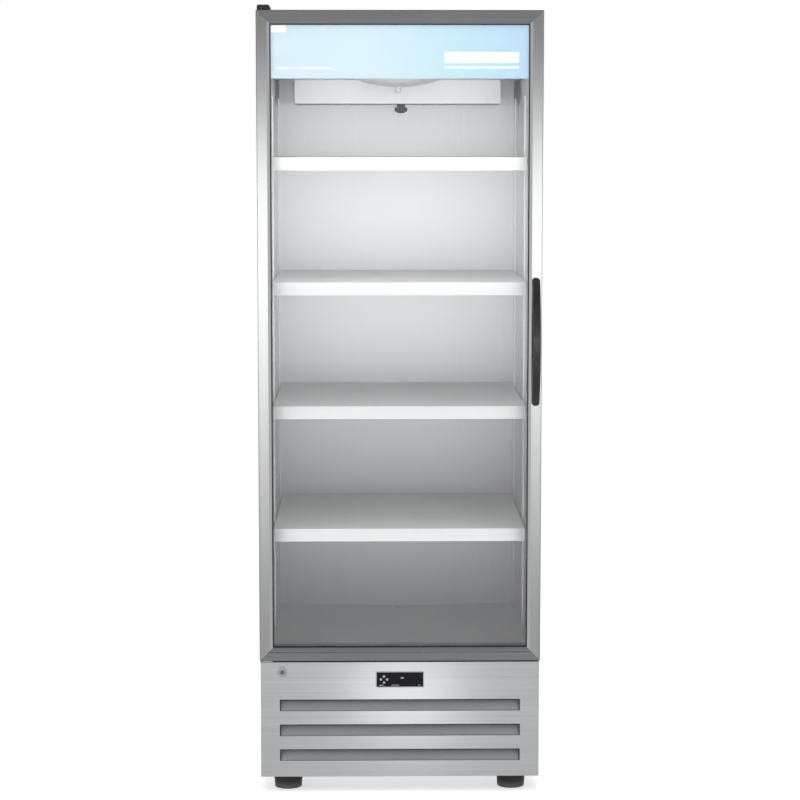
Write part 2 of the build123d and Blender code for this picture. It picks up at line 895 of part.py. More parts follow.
drain_y = inner_back - drain_setback
drain_tube_outer = 7.8
drain_tube_inner = 6.0
tube_end_z = tray_z + 20
pan_x = (-110.0, 50.0)
pan_y = (230.0, 350.0)
pan_wall = 3.0
with BuildPart() as condensate_drain:
    # evaporating tray on the chassis
    block(pan_x, pan_y, (tray_z + 2, tray_z + 45))
    block(
        (pan_x[0] + pan_wall, pan_x[1] - pan_wall),
        (pan_y[0] + pan_wall, pan_y[1] - pan_wall),
        (tray_z + 2 + pan_wall, tray_z + 50),
        mode=Mode.SUBTRACT,
    )
    # tube from the deck down into the tray
    bore_upright(0, drain_y, drain_tube_outer, (tube_end_z, deck_drain_z - 2), mode=Mode.ADD)
    bore_upright(0, drain_y, drain_tube_inner, (tube_end_z - 1, deck_drain_z), mode=Mode.SUBTRACT)
save(condensate_drain.part, "condensate_drain")

inlet_x = 285.0
inlet_z = 270.0
inlet_depth = 17.0
inlet_flange_half = (25.0, 15.0)
inlet_body_half = (14.0, 10.5)
inlet_wall = 2.0
with BuildPart() as power_inlet:
    # flanged body, its socket and the three flat pins
    block(
        (inlet_x - inlet_flange_half[0], inlet_x + inlet_flange_half[0]),
        (cabinet_back - 3.5, cabinet_back - sheet),
        (inlet_z - inlet_flange_half[1], inlet_z + inlet_flange_half[1]),
    )
    block(
        (inlet_x - inlet_body_half[0], inlet_x + inlet_body_half[0]),
        (cabinet_back - 26, cabinet_back),
        (inlet_z - inlet_body_half[1], inlet_z + inlet_body_half[1]),
    )
    block(
        (inlet_x - inlet_body_half[0] + inlet_wall, inlet_x + inlet_body_half[0] - inlet_wall),
        (cabinet_back - inlet_depth, cabinet_back),
        (inlet_z - inlet_body_half[1] + inlet_wall, inlet_z + inlet_body_half[1] - inlet_wall),
        mode=Mode.SUBTRACT,
    )
    for pin_x, pin_z in ((-7, -2.5), (0, 2.5), (7, -2.5)):
        block(
            (inlet_x + pin_x - 1, inlet_x + pin_x + 1),
            (cabinet_back - inlet_depth - 1, cabinet_back - 3.5),
            (inlet_z + pin_z - 2, inlet_z + pin_z + 2),
        )
save(power_inlet.part, "power_inlet")

grille_slot_length = 190.0
grille_slot_width = 8.0
grille_pitch = 18.0
grille_rows = 11
grille_banks_x = (-150.0, 85.0)
grille_middle_z = 185.0
grille_screws_z = (70.0, 185.0, 310.0)
with BuildPart() as rear_grille:
    block(
        (-half_width + 1.5, half_width - 1.5),
        (cabinet_back - sheet, cabinet_back),
        (tray_z, floor_underside - 2),
    )
    with BuildSketch(facing(cabinet_back - 5)):
        with Locations(*[(bank_x, grille_middle_z) for bank_x in grille_banks_x]):
            with GridLocations(grille_slot_length, grille_pitch, 1, grille_rows):
                SlotOverall(grille_slot_length, grille_slot_width)
    extrude(amount=-8, mode=Mode.SUBTRACT)
    block(
        (inlet_x - 15, inlet_x + 15),
        (cabinet_back - 5, cabinet_back + 1),
        (inlet_z - 11.5, inlet_z + 11.5),
        mode=Mode.SUBTRACT,
    )
    for screw_x in (-back_screw_x, back_screw_x):
        for screw_z in grille_screws_z:
            bore_along_y(screw_x, screw_z, screw_hole, (cabinet_back - 3, cabinet_back + 1))
save(rear_grille.part, "rear_grille")

# ---- Lower front panel, louvre and controls ----

with BuildPart() as front_panel:
    panel_back = cabinet_front - 0.3
    block(
        (-panel_half, panel_half),
        (panel_front, panel_front + panel_sheet),
        (base_bottom, panel_top),
    )
    for side in (-1, 1):
        block(
            sorted((side * panel_half, side * (panel_half - panel_sheet))),
            (panel_front, panel_back),
            (base_bottom, panel_top),
        )
    for low in (base_bottom, panel_top - panel_sheet):
        block(
            (-panel_half, panel_half),
            (panel_front, panel_front + 13),
            (low, low + panel_sheet),
        )
    front_outline = front_panel.edges().filter_by_position(
        Axis.Y, panel_front - 0.01, panel_front + 0.01
    )
    fillet(front_outline, radius=1.0)
    with BuildSketch(facing(panel_front - 1)):
        with Locations(*[(0, z) for z in slot_centres]):
            Rectangle(2 * slot_half, slot_height)
    extrude(amount=-4, mode=Mode.SUBTRACT)
    # openings for the display and the lock
    with BuildSketch(facing(panel_front - 1)):
        with Locations((0, display_z)):
            Rectangle(2 * display_half - 2, 2 * display_half_height - 2)
        with Locations((lock_x, lock_z)):
            Circle(9.6)
    extrude(amount=-4, mode=Mode.SUBTRACT)
save(front_panel.part, "front_panel")

with BuildPart() as louvre_blades:
    # inclined blades behind the slots, joined by a strap at each end
    for centre in slot_centres:
        with BuildSketch(Plane.YZ.offset(-slot_half - 6)) as blade_section:
            with BuildLine():
                low_z = centre - slot_height / 2 - 4
                high_z = centre + slot_height / 2 - 6
                Polyline(
                    (panel_front + 2.8, low_z),
                    (panel_front + 2.8, low_z + 6),
                    (panel_front + 14, high_z),
                    (panel_front + 15.2, high_z - 0.8),
                    (panel_front + 4.0, low_z + 5.4),
                    (panel_front + 4.0, low_z),
                    close=True,
                )
            make_face()
        extrude(blade_section.sketch, amount=2 * slot_half + 12)
    for side in (-1, 1):
        block(
            sorted((side * (slot_half + 6), side * (slot_half + 7.5))),
            (panel_front + 1.6, panel_front + 18),
            (slot_centres[0] - 24, slot_centres[-1] + 24),
        )
save(louvre_blades.part, "louvre_blades")

with BuildPart() as control_housing:
    # bezel, the body behind it, and the hollow that holds the board
    block(
        (-display_half, display_half),
        (panel_front - 0.8, panel_front),
        (display_z - display_half_height, display_z + display_half_height),
    )
    block(
        (-display_half + 1.2, display_half - 1.2),
        (panel_front, panel_front + 22),
        (display_z - display_half_height + 1.2, display_z + display_half_height - 1.2),
    )
    block(
        (-display_half + 2.2, display_half - 2.2),
        (panel_front - 2, panel_front + 1.6),
        (display_z - display_half_height + 2.2, display_z + display_half_height - 2.2),
        mode=Mode.SUBTRACT,
    )
    block(
        (-display_half + 4, display_half - 4),
        (panel_front, panel_front + 20),
        (display_z - display_half_height + 4, display_z + display_half_height - 4),
        mode=Mode.SUBTRACT,
    )
    bezel_edges = control_housing.edges().filter_by(Axis.Y)
    outer_corners = bezel_edges.filter_by_position(Axis.Y, panel_front - 0.8, panel_front)
    fillet(outer_corners.sort_by_distance((0, panel_front - 0.4, display_z))[-4:], radius=3)
save(control_housing.part, "control_housing")

key_spots = {
    "key_up": (key_centre_x, display_z + key_spread),
    "key_down": (key_centre_x, display_z - key_spread),
    "key_left": (key_centre_x - key_spread, display_z),
    "key_right": (key_centre_x + key_spread, display_z),
}

with BuildPart() as display_window:
    block(
        (-display_half + 2.4, display_half - 2.4),
        (panel_front - 0.5, panel_front + 1.6),
        (display_z - display_half_height + 2.4, display_z + display_half_height - 2.4),
    )
    for key_x, key_z in key_spots.values():
        bore_along_y(key_x, key_z, key_radius + 0.3, (panel_front - 1, panel_front + 3))
save(display_window.part, "display_window")

for name, (key_x, key_z) in key_spots.items():
    with BuildPart() as key:
        bore_along_y(key_x, key_z, key_radius, (panel_front - 1.3, panel_front + 2.2), mode=Mode.ADD)
        bore_along_y(key_x, key_z, key_radius + 1.1, (panel_front + 2.0, panel_front + 3.0), mode=Mode.ADD)
        cap_edge = key.edges().filter_by(GeomType.CIRCLE).sort_by(Axis.Y)[0]
        fillet(cap_edge, radius=0.6)
    save(key.part, name)

plug_radius = 6.0
with BuildPart() as lock_barrel:
    bore_along_y(lock_x, lock_z, 14, (panel_front - 2.4, panel_front), mode=Mode.ADD)
    fillet(lock_barrel.edges().filter_by(GeomType.CIRCLE).sort_by(Axis.Y)[0], radius=1.4)
    bore_along_y(lock_x, lock_z, 9.5, (panel_front, panel_front + 15), mode=Mode.ADD)
    # clamp nut behind the sheet
    with BuildSketch(facing(panel_front + panel_sheet)):
        with Locations((lock_x, lock_z)):
            RegularPolygon(14, 6)
    extrude(amount=-4)
    bore_along_y(lock_x, lock_z, plug_radius + 0.05, (panel_front - 5, panel_front + 20))
save(lock_barrel.part, "lock_barrel")

cam_y = (panel_front + 16.5, panel_front + 19)
cam_tip = 40.0
cam_clear = 2.0
cam_slot_left = 10.0
cam_slot_right = 33.0
with BuildPart() as lock_plug:
    bore_along_y(lock_x, lock_z, plug_radius, (panel_front - 2.8, cam_y[1]), mode=Mode.ADD)
    # keyway
    block(
        (lock_x - 0.8, lock_x + 0.8),
        (panel_front - 4, panel_front + 2),
        (lock_z - 4, lock_z + 4),
        mode=Mode.SUBTRACT,
    )
    with BuildSketch(facing(cam_y[0])):
        with Locations((lock_x, lock_z)):
            Circle(9)
        with Locations((lock_x + (cam_tip - 7) / 2, lock_z)):
            Rectangle(cam_tip - 7, 14)
        with Locations((lock_x + cam_tip - 7, lock_z)):
            Circle(7)
    extrude(amount=-(cam_y[1] - cam_y[0]))
save(lock_plug.part, "lock_plug")

# ---- Door ----


def frame_member(length, middle, inward, along):
    """One mitred length of the door's frame; inward points from its outer edge to the glass."""
    profile_plane = Plane(origin=middle, x_dir=inward, z_dir=along)
    corner_round = 2.5
    groove_depth = 3.2
    bevel_near = 1.2
    bevel_far = 5.2
    lip_back = 6.4
    chamber_back = 34.0
    pocket_back = 37.0
    with BuildPart() as member:
        with BuildSketch(profile_plane):
            with BuildLine():
                edge = Polyline(
                    (frame_wall, door_depth),
                    (0, door_depth),
                    (0, corner_round),
                )
                nose = RadiusArc(edge @ 1, (corner_round, 0), corner_round)
                Polyline(
                    nose @ 1,
                    (frame_outer_face, 0),
                    (frame_outer_face, groove_depth),
                    (frame_groove_end, groove_depth),
                    (frame_groove_end, bevel_near),
                    (frame_bevel_end, bevel_far),
                    (frame_bevel_end, lip_back),
                    (pocket_edge, lip_back),
                    (pocket_edge, pocket_back),
                    (frame_wall, pocket_back),
                    (frame_wall, door_depth),
                )
            make_face()
            with Locations(((frame_wall + 24) / 2, (6 + chamber_back) / 2)):
                Rectangle(24 - frame_wall, chamber_back - 6, mode=Mode.SUBTRACT)
        extrude(amount=length / 2, both=True)
        for end in (-1, 1):
            tip = Vector(*middle) + Vector(*along) * (end * length / 2)
            mitre = Plane(origin=tip, z_dir=Vector(*inward) + Vector(*along) * end)
            split(bisect_by=mitre, keep=Keep.BOTTOM)
    return member.part


door_middle_z = (door_bottom + door_top) / 2
door_height = door_top - door_bottom
pad_screws = (handle_bottom + 17, handle_top - 17)

with BuildPart() as door_stile_left:
    add(frame_member(door_height, (-half_width, door_front, door_middle_z), (1, 0, 0), (0, 0, 1)))
save(door_stile_left.part, "door_stile_left")

with BuildPart() as door_stile_right:
    add(frame_member(door_height, (half_width, door_front, door_middle_z), (-1, 0, 0), (0, 0, -1)))
save(door_stile_right.part, "door_stile_right")

with BuildPart() as door_rail_top:
    add(frame_member(2 * half_width, (0, door_front, door_top), (0, 0, -1), (1, 0, 0)))
    bore_upright(hinge_x, hinge_y, bush_radius, (door_top - 4, door_top + 1))
save(door_rail_top.part, "door_rail_top")

with BuildPart() as door_rail_bottom:
    add(frame_member(2 * half_width, (0, door_front, door_bottom), (0, 0, 1), (-1, 0, 0)))
    bore_upright(hinge_x, hinge_y, bush_radius, (door_bottom - 1, door_bottom + 4))
    # slot for the lock's cam
    block(
        (lock_x - cam_slot_left, lock_x + cam_slot_right),
        (cam_y[0] - cam_clear, cam_y[1] + cam_clear),
        (door_bottom - 1, door_bottom + 4),
        mode=Mode.SUBTRACT,
    )
save(door_rail_bottom.part, "door_rail_bottom")

with BuildPart() as glazing_gasket:
    door_ring(pocket_edge + 0.4, frame_face, 6.4, outer_glass_near)
    door_ring(frame_bevel_end, frame_face, 4.6, 6.4)
    inner_lip = glazing_gasket.edges().filter_by_position(
        Axis.Y, door_front + 4.59, door_front + 4.61
    )
    fillet(inner_lip, radius=1.1)
save(glazing_gasket.part, "glazing_gasket")

inner_glass_near = outer_glass_near + glass_thickness + glass_gap
with BuildPart() as outer_glass:
    door_pane(30, outer_glass_near, outer_glass_near + glass_thickness)
save(outer_glass.part, "outer_glass")

with BuildPart() as inner_glass:
    door_pane(30, inner_glass_near, inner_glass_near + glass_thickness)
save(inner_glass.part, "inner_glass")

with BuildPart() as glass_spacer:
    door_ring(31, frame_face - 0.2, outer_glass_near + glass_thickness, inner_glass_near)
save(glass_spacer.part, "glass_spacer")

with BuildPart() as door_inner_frame:
    door_ring(frame_wall, 35, 37, door_depth)
    door_ring(pocket_edge + 0.4, 35, inner_glass_near + glass_thickness, 37)
    inner_back_edges = door_inner_frame.edges().filter_by_position(
        Axis.Y, door_front + door_depth - 0.01, door_front + door_depth + 0.01
    )
    fillet(inner_back_edges, radius=1.5)
save(door_inner_frame.part, "door_inner_frame")

# The magnetic gasket closes on the breaker strips and on the face of the sill.
gasket_x = (330.0, 344.0)
gasket_z = (350.2, 364.2, 1952.0, 1966.0)
gasket_y = (door_front + door_depth, cabinet_front - gasket_clear)
with BuildPart() as door_gasket:
    with BuildSketch(facing(gasket_y[0])):
        with Locations((0, (gasket_z[0] + gasket_z[3]) / 2)):
            Rectangle(2 * gasket_x[1], gasket_z[3] - gasket_z[0])
        with Locations((0, (gasket_z[1] + gasket_z[2]) / 2)):
            Rectangle(2 * gasket_x[0], gasket_z[2] - gasket_z[1], mode=Mode.SUBTRACT)
    extrude(amount=-(gasket_y[1] - gasket_y[0]))
    # bellows groove round the outside
    with BuildSketch(facing(gasket_y[0] + 4)):
        with Locations((0, (gasket_z[0] + gasket_z[3]) / 2)):
            Rectangle(2 * gasket_x[1] + 2, gasket_z[3] - gasket_z[0] + 2)
            Rectangle(2 * gasket_x[1] - 5, gasket_z[3] - gasket_z[0] - 5, mode=Mode.SUBTRACT)
    extrude(amount=-3, mode=Mode.SUBTRACT)
save(door_gasket.part, "door_gasket")

with BuildPart() as door_handle:
    handle_middle = (handle_bottom + handle_top) / 2
    pad_length = 34.0
    end_thickness = 7.0
    bar_thickness = 11.0
    with BuildSketch(Plane.YZ.offset(handle_x - handle_width / 2)):
        with BuildLine():
            outer_bow = ThreePointArc(
                (door_front - end_thickness, handle_bottom),
                (door_front - handle_reach, handle_middle),
                (door_front - end_thickness, handle_top),
            )
            inner_bow = ThreePointArc(
                (door_front, handle_bottom + pad_length),
                (door_front - handle_reach + bar_thickness, handle_middle),
                (door_front, handle_top - pad_length),
            )
            Polyline(outer_bow @ 0, (door_front, handle_bottom), inner_bow @ 0)
            Polyline(outer_bow @ 1, (door_front, handle_top), inner_bow @ 1)
        make_face()
    extrude(amount=handle_width)
    end_corners = door_handle.edges().filter_by(Axis.Y)
    fillet(end_corners, radius=8.5)
    front_edges = door_handle.faces().sort_by(Axis.Y)[0].edges()
    fillet(front_edges, radius=3.5)
save(door_handle.part, "door_handle")

with BuildPart() as hinge_bushes:
    bush_length = 24.0
    flange = 0.9
    for start, outward in ((door_bottom, -1), (door_top, 1)):
        inside_end = start - outward * bush_length
        outside_end = start + outward * flange
        bore_upright(hinge_x, hinge_y, bush_radius, sorted((start, inside_end)), mode=Mode.ADD)
        bore_upright(hinge_x, hinge_y, bush_radius + 3, sorted((start, outside_end)), mode=Mode.ADD)
        bore_upright(
            hinge_x,
            hinge_y,
            hinge_pin_radius + hinge_clear,
            sorted((inside_end - outward, outside_end + outward)),
        )
save(hinge_bushes.part, "hinge_bushes")

# ---- Hinge brackets ----

bracket_x = -341.5
bracket_sheet = 3.0

with BuildPart() as upper_hinge_bracket:
    with BuildSketch(Plane.XY.offset(cabinet_top)):
        with Locations((bracket_x, -266)):
            RectangleRounded(27, 100, 6)
    extrude(amount=bracket_sheet)
    plate_top = cabinet_top + bracket_sheet
    bore_upright(hinge_x, hinge_y, hinge_pin_radius, (door_top - 18, plate_top), mode=Mode.ADD)
    for screw_y in (-252, -228):
        bore_upright(bracket_x, screw_y, 5.0, (plate_top, plate_top + 2.5), mode=Mode.ADD)
save(upper_hinge_bracket.part, "upper_hinge_bracket")

with BuildPart() as hinge_cap:
    cap_x = (-357.5, -326.0)
    cap_y = (-321.5, -212.0)
    cap_top = cabinet_top + 12
    block(cap_x, cap_y, (cabinet_top, cap_top))
    fillet(hinge_cap.edges().filter_by(Axis.Z), radius=7)
    fillet(hinge_cap.edges().group_by(Axis.Z)[-1], radius=4)
    block(
        (cap_x[0] + 2, cap_x[1] - 1.5),
        (cap_y[0] + 5, cap_y[1] - 3),
        (cabinet_top - 1, cap_top - 2.5),
        mode=Mode.SUBTRACT,
    )
save(hinge_cap.part, "hinge_cap")

with BuildPart() as lower_hinge_bracket:
    plate_x = (-356, -324)
    plate_z = (panel_top + 0.6, panel_top + 3.1)
    block(plate_x, (-318, cabinet_front), plate_z)
    corner = lower_hinge_bracket.edges().filter_by(Axis.Z).group_by(Axis.Y)[0]
    fillet(corner, radius=8)
    block(plate_x, (cabinet_front - 2.5, cabinet_front), (290, plate_z[1]))
    bore_upright(hinge_x, hinge_y, hinge_pin_radius, (plate_z[1] - 1, door_bottom + 20), mode=Mode.ADD)
save(lower_hinge_bracket.part, "lower_hinge_bracket")
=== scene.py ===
import math

import bmesh
import bpy
from mathutils import Euler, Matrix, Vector


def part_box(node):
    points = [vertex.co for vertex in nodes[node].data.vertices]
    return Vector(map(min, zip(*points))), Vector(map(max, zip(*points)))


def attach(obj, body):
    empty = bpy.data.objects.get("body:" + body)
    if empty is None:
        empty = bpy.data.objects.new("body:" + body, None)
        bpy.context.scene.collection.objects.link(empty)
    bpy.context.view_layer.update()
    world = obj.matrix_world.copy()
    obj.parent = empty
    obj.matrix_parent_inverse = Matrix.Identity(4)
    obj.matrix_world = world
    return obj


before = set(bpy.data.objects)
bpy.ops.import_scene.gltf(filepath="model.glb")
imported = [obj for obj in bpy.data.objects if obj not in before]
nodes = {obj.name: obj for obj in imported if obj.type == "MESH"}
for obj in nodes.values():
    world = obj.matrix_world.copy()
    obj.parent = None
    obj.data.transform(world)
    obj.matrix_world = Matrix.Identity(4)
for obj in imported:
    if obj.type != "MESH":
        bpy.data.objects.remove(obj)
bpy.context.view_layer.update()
scene = bpy.context.scene
MM = 0.001


# ---------------------------------------------------------------- node helpers


def shader_group(name, inputs, outputs):
    """An empty shader node group with named sockets, its input node and its output node."""
    tree = bpy.data.node_groups.new(name, "ShaderNodeTree")
    for label, kind, value in inputs:
        made = tree.interface.new_socket(name=label, in_out="INPUT", socket_type=kind)
        if value is not None:
            made.default_value = value
    for label, kind in outputs:
        tree.interface.new_socket(name=label, in_out="OUTPUT", socket_type=kind)
    return tree, tree.nodes.new("NodeGroupInput"), tree.nodes.new("NodeGroupOutput")


def add(tree, kind, settings=None, **values):
    """A node with its settings made, and each named socket filled by a value or a link."""
    made = tree.nodes.new(kind)
    for key, value in (settings or {}).items():
        setattr(made, key, value)
    for label, value in values.items():
        target = made.inputs[label.replace("_", " ")]
        if isinstance(value, bpy.types.NodeSocket):
            tree.links.new(value, target)
        else:
            target.default_value = value
    return made


def calc(tree, operation, first, second=0.0, clamp=False):
    """The output of one Math node."""
    made = tree.nodes.new("ShaderNodeMath")
    made.operation = operation
    made.use_clamp = clamp
    for target, value in zip(made.inputs, (first, second)):
        if isinstance(value, bpy.types.NodeSocket):
            tree.links.new(value, target)
        else:
            target.default_value = value
    return made.outputs[0]


def shifted(tree, base, swing, amount):
    """base + (swing - 0.5) * amount, kept from 0 to 1."""
    centred = calc(tree, "SUBTRACT", swing, 0.5)
    return calc(tree, "ADD", base, calc(tree, "MULTIPLY", centred, amount), clamp=True)


def shaded(tree, tone, swing, depth):
    """tone made lighter and darker by depth as swing runs over 0 to 1."""
    centred = calc(tree, "SUBTRACT", swing, 0.5)
    value = calc(tree, "ADD", calc(tree, "MULTIPLY", centred, depth), 1.0)
    return add(tree, "ShaderNodeHueSaturation", Color=tone, Value=value).outputs["Color"]


# ------------------------------------------------------------- surface effects

FINISH_OUTPUTS = [
    ("Colour", "NodeSocketColor"),
    ("Roughness", "NodeSocketFloat"),
    ("Height", "NodeSocketFloat"),
]


def send_finish(tree, source, sink, swing, depth_name, height):
    """Links a finish group's outputs: swing moves tone and roughness, and height is the relief."""
    colour = shaded(tree, source.outputs["Tone"], swing, source.outputs[depth_name])
    roughness_swing = source.outputs["Roughness Swing"]
    roughness = shifted(tree, source.outputs["Roughness"], swing, roughness_swing)
    tree.links.new(colour, sink.inputs["Colour"])
    tree.links.new(roughness, sink.inputs["Roughness"])
    tree.links.new(height, sink.inputs["Height"])


def make_brushed_grain():
    """Long fine scratches along the sheet's grain, with slow clouding from rolling and wiping."""
    tree, source, sink = shader_group(
        "brushed_grain",
        [
            ("Grain", "NodeSocketVector", None),
            ("Place", "NodeSocketVector", None),
            ("Tone", "NodeSocketColor", (0.6, 0.6, 0.6, 1)),
            ("Scratch Depth", "NodeSocketFloat", 0.1),
            ("Roughness", "NodeSocketFloat", 0.3),
            ("Roughness Swing", "NodeSocketFloat", 0.1),
        ],
        FINISH_OUTPUTS,
    )
    grain = source.outputs["Grain"]
    place = source.outputs["Place"]
    scratch = add(tree, "ShaderNodeTexNoise", Vector=grain, Scale=1.0, Detail=4.0, Roughness=0.65)
    cloud = add(tree, "ShaderNodeTexNoise", Vector=place, Scale=2.6, Detail=3.0)
    broad = add(tree, "ShaderNodeTexNoise", Vector=grain, Scale=0.16, Detail=3.0, Roughness=0.7)
    fine_share, wide_share, slow_share = 0.35, 0.45, 0.2
    fine = calc(tree, "MULTIPLY", scratch.outputs[0], fine_share)
    wide = calc(tree, "MULTIPLY", broad.outputs[0], wide_share)
    slow = calc(tree, "MULTIPLY", cloud.outputs[0], slow_share)
    both = calc(tree, "ADD", calc(tree, "ADD", fine, wide), slow)
    send_finish(tree, source, sink, both, "Scratch Depth", scratch.outputs[0])
    return tree


def make_moulded_skin():
    """Fine leathery texture of moulded plastic, rubber and sprayed paint, unevenly glossy."""
    tree, source, sink = shader_group(
        "moulded_skin",
        [
            ("Place", "NodeSocketVector", None),
            ("Tone", "NodeSocketColor", (0.5, 0.5, 0.5, 1)),
            ("Pebble Scale", "NodeSocketFloat", 900.0),
            ("Tone Swing", "NodeSocketFloat", 0.1),
            ("Roughness", "NodeSocketFloat", 0.4),
            ("Roughness Swing", "NodeSocketFloat", 0.15),
        ],
        FINISH_OUTPUTS,
    )
    place = source.outputs["Place"]
    pebble_scale = source.outputs["Pebble Scale"]
    pebble = add(tree, "ShaderNodeTexNoise", Vector=place, Scale=pebble_scale, Detail=3.0)
    cloud = add(tree, "ShaderNodeTexNoise", Vector=place, Scale=14.0, Detail=4.0, Roughness=0.6)
    send_finish(tree, source, sink, cloud.outputs[0], "Tone Swing", pebble.outputs[0])
    return tree


def make_zinc_spangle():
    """The angular crystal patches of hot-dipped zinc."""
    tree, source, sink = shader_group(
        "zinc_spangle",
        [
            ("Place", "NodeSocketVector", None),
            ("Tone", "NodeSocketColor", (0.55, 0.57, 0.59, 1)),
            ("Crystal Scale", "NodeSocketFloat", 75.0),
            ("Tone Swing", "NodeSocketFloat", 0.3),
            ("Roughness", "NodeSocketFloat", 0.42),
            ("Roughness Swing", "NodeSocketFloat", 0.25),
        ],
        FINISH_OUTPUTS,
    )
    place = source.outputs["Place"]
    warp = add(tree, "ShaderNodeTexNoise", Vector=place, Scale=30.0, Detail=2.0)
    bent = add(
        tree,
        "ShaderNodeMixRGB",
        {"blend_type": "LINEAR_LIGHT"},
        Fac=0.012,
        Color1=place,
        Color2=warp.outputs["Color"],
    )
    crystal_scale = source.outputs["Crystal Scale"]
    crystal = add(tree, "ShaderNodeTexVoronoi", Vector=bent.outputs[0], Scale=crystal_scale)
    patch = add(tree, "ShaderNodeSeparateColor", Color=crystal.outputs["Color"]).outputs[0]
    send_finish(tree, source, sink, patch, "Tone Swing", patch)
    return tree


def make_rubbed_zone():
    """A mask, 1 at a worn or dusty place and 0 beyond its reach, broken up by fine mottling."""
    tree, source, sink = shader_group(
        "rubbed_zone",
        [
            ("Place", "NodeSocketVector", None),
            ("Centre", "NodeSocketVector", (0, 0, 0)),
            ("Reach", "NodeSocketVector", (1, 1, 1)),
            ("Break Up", "NodeSocketFloat", 0.8),
        ],
        [("Mask", "NodeSocketFloat")],
    )
    away = add(tree, "ShaderNodeVectorMath", {"operation": "SUBTRACT"})
    tree.links.new(source.outputs["Place"], away.inputs[0])
    tree.links.new(source.outputs["Centre"], away.inputs[1])
    scaled = add(tree, "ShaderNodeVectorMath", {"operation": "DIVIDE"})
    tree.links.new(away.outputs[0], scaled.inputs[0])
    tree.links.new(source.outputs["Reach"], scaled.inputs[1])
    length = add(tree, "ShaderNodeVectorMath", {"operation": "LENGTH"})
    tree.links.new(scaled.outputs[0], length.inputs[0])
    near = calc(tree, "SUBTRACT", 1.0, length.outputs["Value"], clamp=True)
    place = source.outputs["Place"]
    mottle = add(tree, "ShaderNodeTexNoise", Vector=place, Scale=45.0, Detail=5.0, Roughness=0.7)
    centred = calc(tree, "SUBTRACT", mottle.outputs[0], 0.5)
    broken = calc(tree, "MULTIPLY", centred, source.outputs["Break Up"])
    near_broken = calc(tree, "ADD", near, calc(tree, "MULTIPLY", broken, near))
    tree.links.new(calc(tree, "MULTIPLY", near_broken, 1.0, clamp=True), sink.inputs["Mask"])
    return tree


BRUSHED_GRAIN = make_brushed_grain()
MOULDED_SKIN = make_moulded_skin()
ZINC_SPANGLE = make_zinc_spangle()
RUBBED_ZONE = make_rubbed_zone()


def use(tree, group, **values):
    """A group placed in a material with its own values."""
    return add(tree, "ShaderNodeGroup", {"node_tree": group}, **values)


def new_material(name, **constants):
    """A material with its Principled shader, and the coordinate that finishes are placed by."""
    made = bpy.data.materials.new(name)
    made.use_nodes = True
    tree = made.node_tree
    shader = tree.nodes["Principled BSDF"]
    for label, value in constants.items():
        shader.inputs[label.replace("_", " ")].default_value = value
    place = tree.nodes.new("ShaderNodeTexCoord").outputs["Object"]
    return made, tree, shader, place


def finish_with(tree, shader, skin, bump, depth):
    """Links a finish group to the shader, with its height as a bump."""
    tree.links.new(skin.outputs["Colour"], shader.inputs["Base Color"])
    tree.links.new(skin.outputs["Roughness"], shader.inputs["Roughness"])
    height = skin.outputs["Height"]
    relief = add(tree, "ShaderNodeBump", Strength=bump, Distance=depth, Height=height)
    tree.links.new(relief.outputs[0], shader.inputs["Normal"])


def brushed_steel(name, tone, roughness, grain, depth=0.5, swing=0.22, bump=0.12):
    """Brushed or turned metal; grain holds how fast the scratches change along X, Y and Z."""
    made, tree, shader, place = new_material(name, Metallic=1.0)
    stretched = add(tree, "ShaderNodeMapping", Vector=place, Scale=grain).outputs[0]
    skin = use(
        tree,
        BRUSHED_GRAIN,
        Grain=stretched,
        Place=place,
        Tone=(*tone, 1),
        Scratch_Depth=depth,
        Roughness=roughness,
        Roughness_Swing=swing,
    )
    finish_with(tree, shader, skin, bump, 0.0002)
    return made


def moulded(
    name, tone, roughness, pebble=900.0, swing=0.12, bump=0.25, tone_swing=0.12, **constants
):
    """Plastic, rubber or paint."""
    made, tree, shader, place = new_material(name, **constants)
    skin = use(
        tree,
        MOULDED_SKIN,
        Place=place,
        Tone=(*tone, 1),
        Pebble_Scale=pebble,
        Tone_Swing=tone_swing,
        Roughness=roughness,
        Roughness_Swing=swing,
    )
    finish_with(tree, shader, skin, bump, 0.0003)
    return made


def zinc_coated(name, tone, roughness, crystal):
    """Galvanised or zinc-plated steel."""
    made, tree, shader, place = new_material(name, Metallic=1.0)
    skin = use(
        tree,
        ZINC_SPANGLE,
        Place=place,
        Tone=(*tone, 1),
        Crystal_Scale=crystal,
        Tone_Swing=0.22,
        Roughness=roughness,
        Roughness_Swing=0.2,
    )
    finish_with(tree, shader, skin, 0.08, 0.0002)
    return made


def dusted(material, tone, centre, reach, strength):
    """Lays dust or wear of another tone over a finished material near one place."""
    tree = material.node_tree
    shader = tree.nodes["Principled BSDF"]
    place = tree.nodes["Texture Coordinate"].outputs["Object"]
    zone = use(tree, RUBBED_ZONE, Place=place, Centre=centre, Reach=reach, Break_Up=1.2)
    amount = calc(tree, "MULTIPLY", zone.outputs["Mask"], strength, clamp=True)
    under = shader.inputs["Base Color"].links[0].from_socket
    mixed = add(tree, "ShaderNodeMixRGB", Fac=amount, Color1=under, Color2=(*tone, 1))
    tree.links.new(mixed.outputs[0], shader.inputs["Base Color"])
    dull = shader.inputs["Roughness"].links[0].from_socket
    raised = calc(tree, "ADD", dull, calc(tree, "MULTIPLY", amount, 0.3), clamp=True)
    tree.links.new(raised, shader.inputs["Roughness"])
    return material


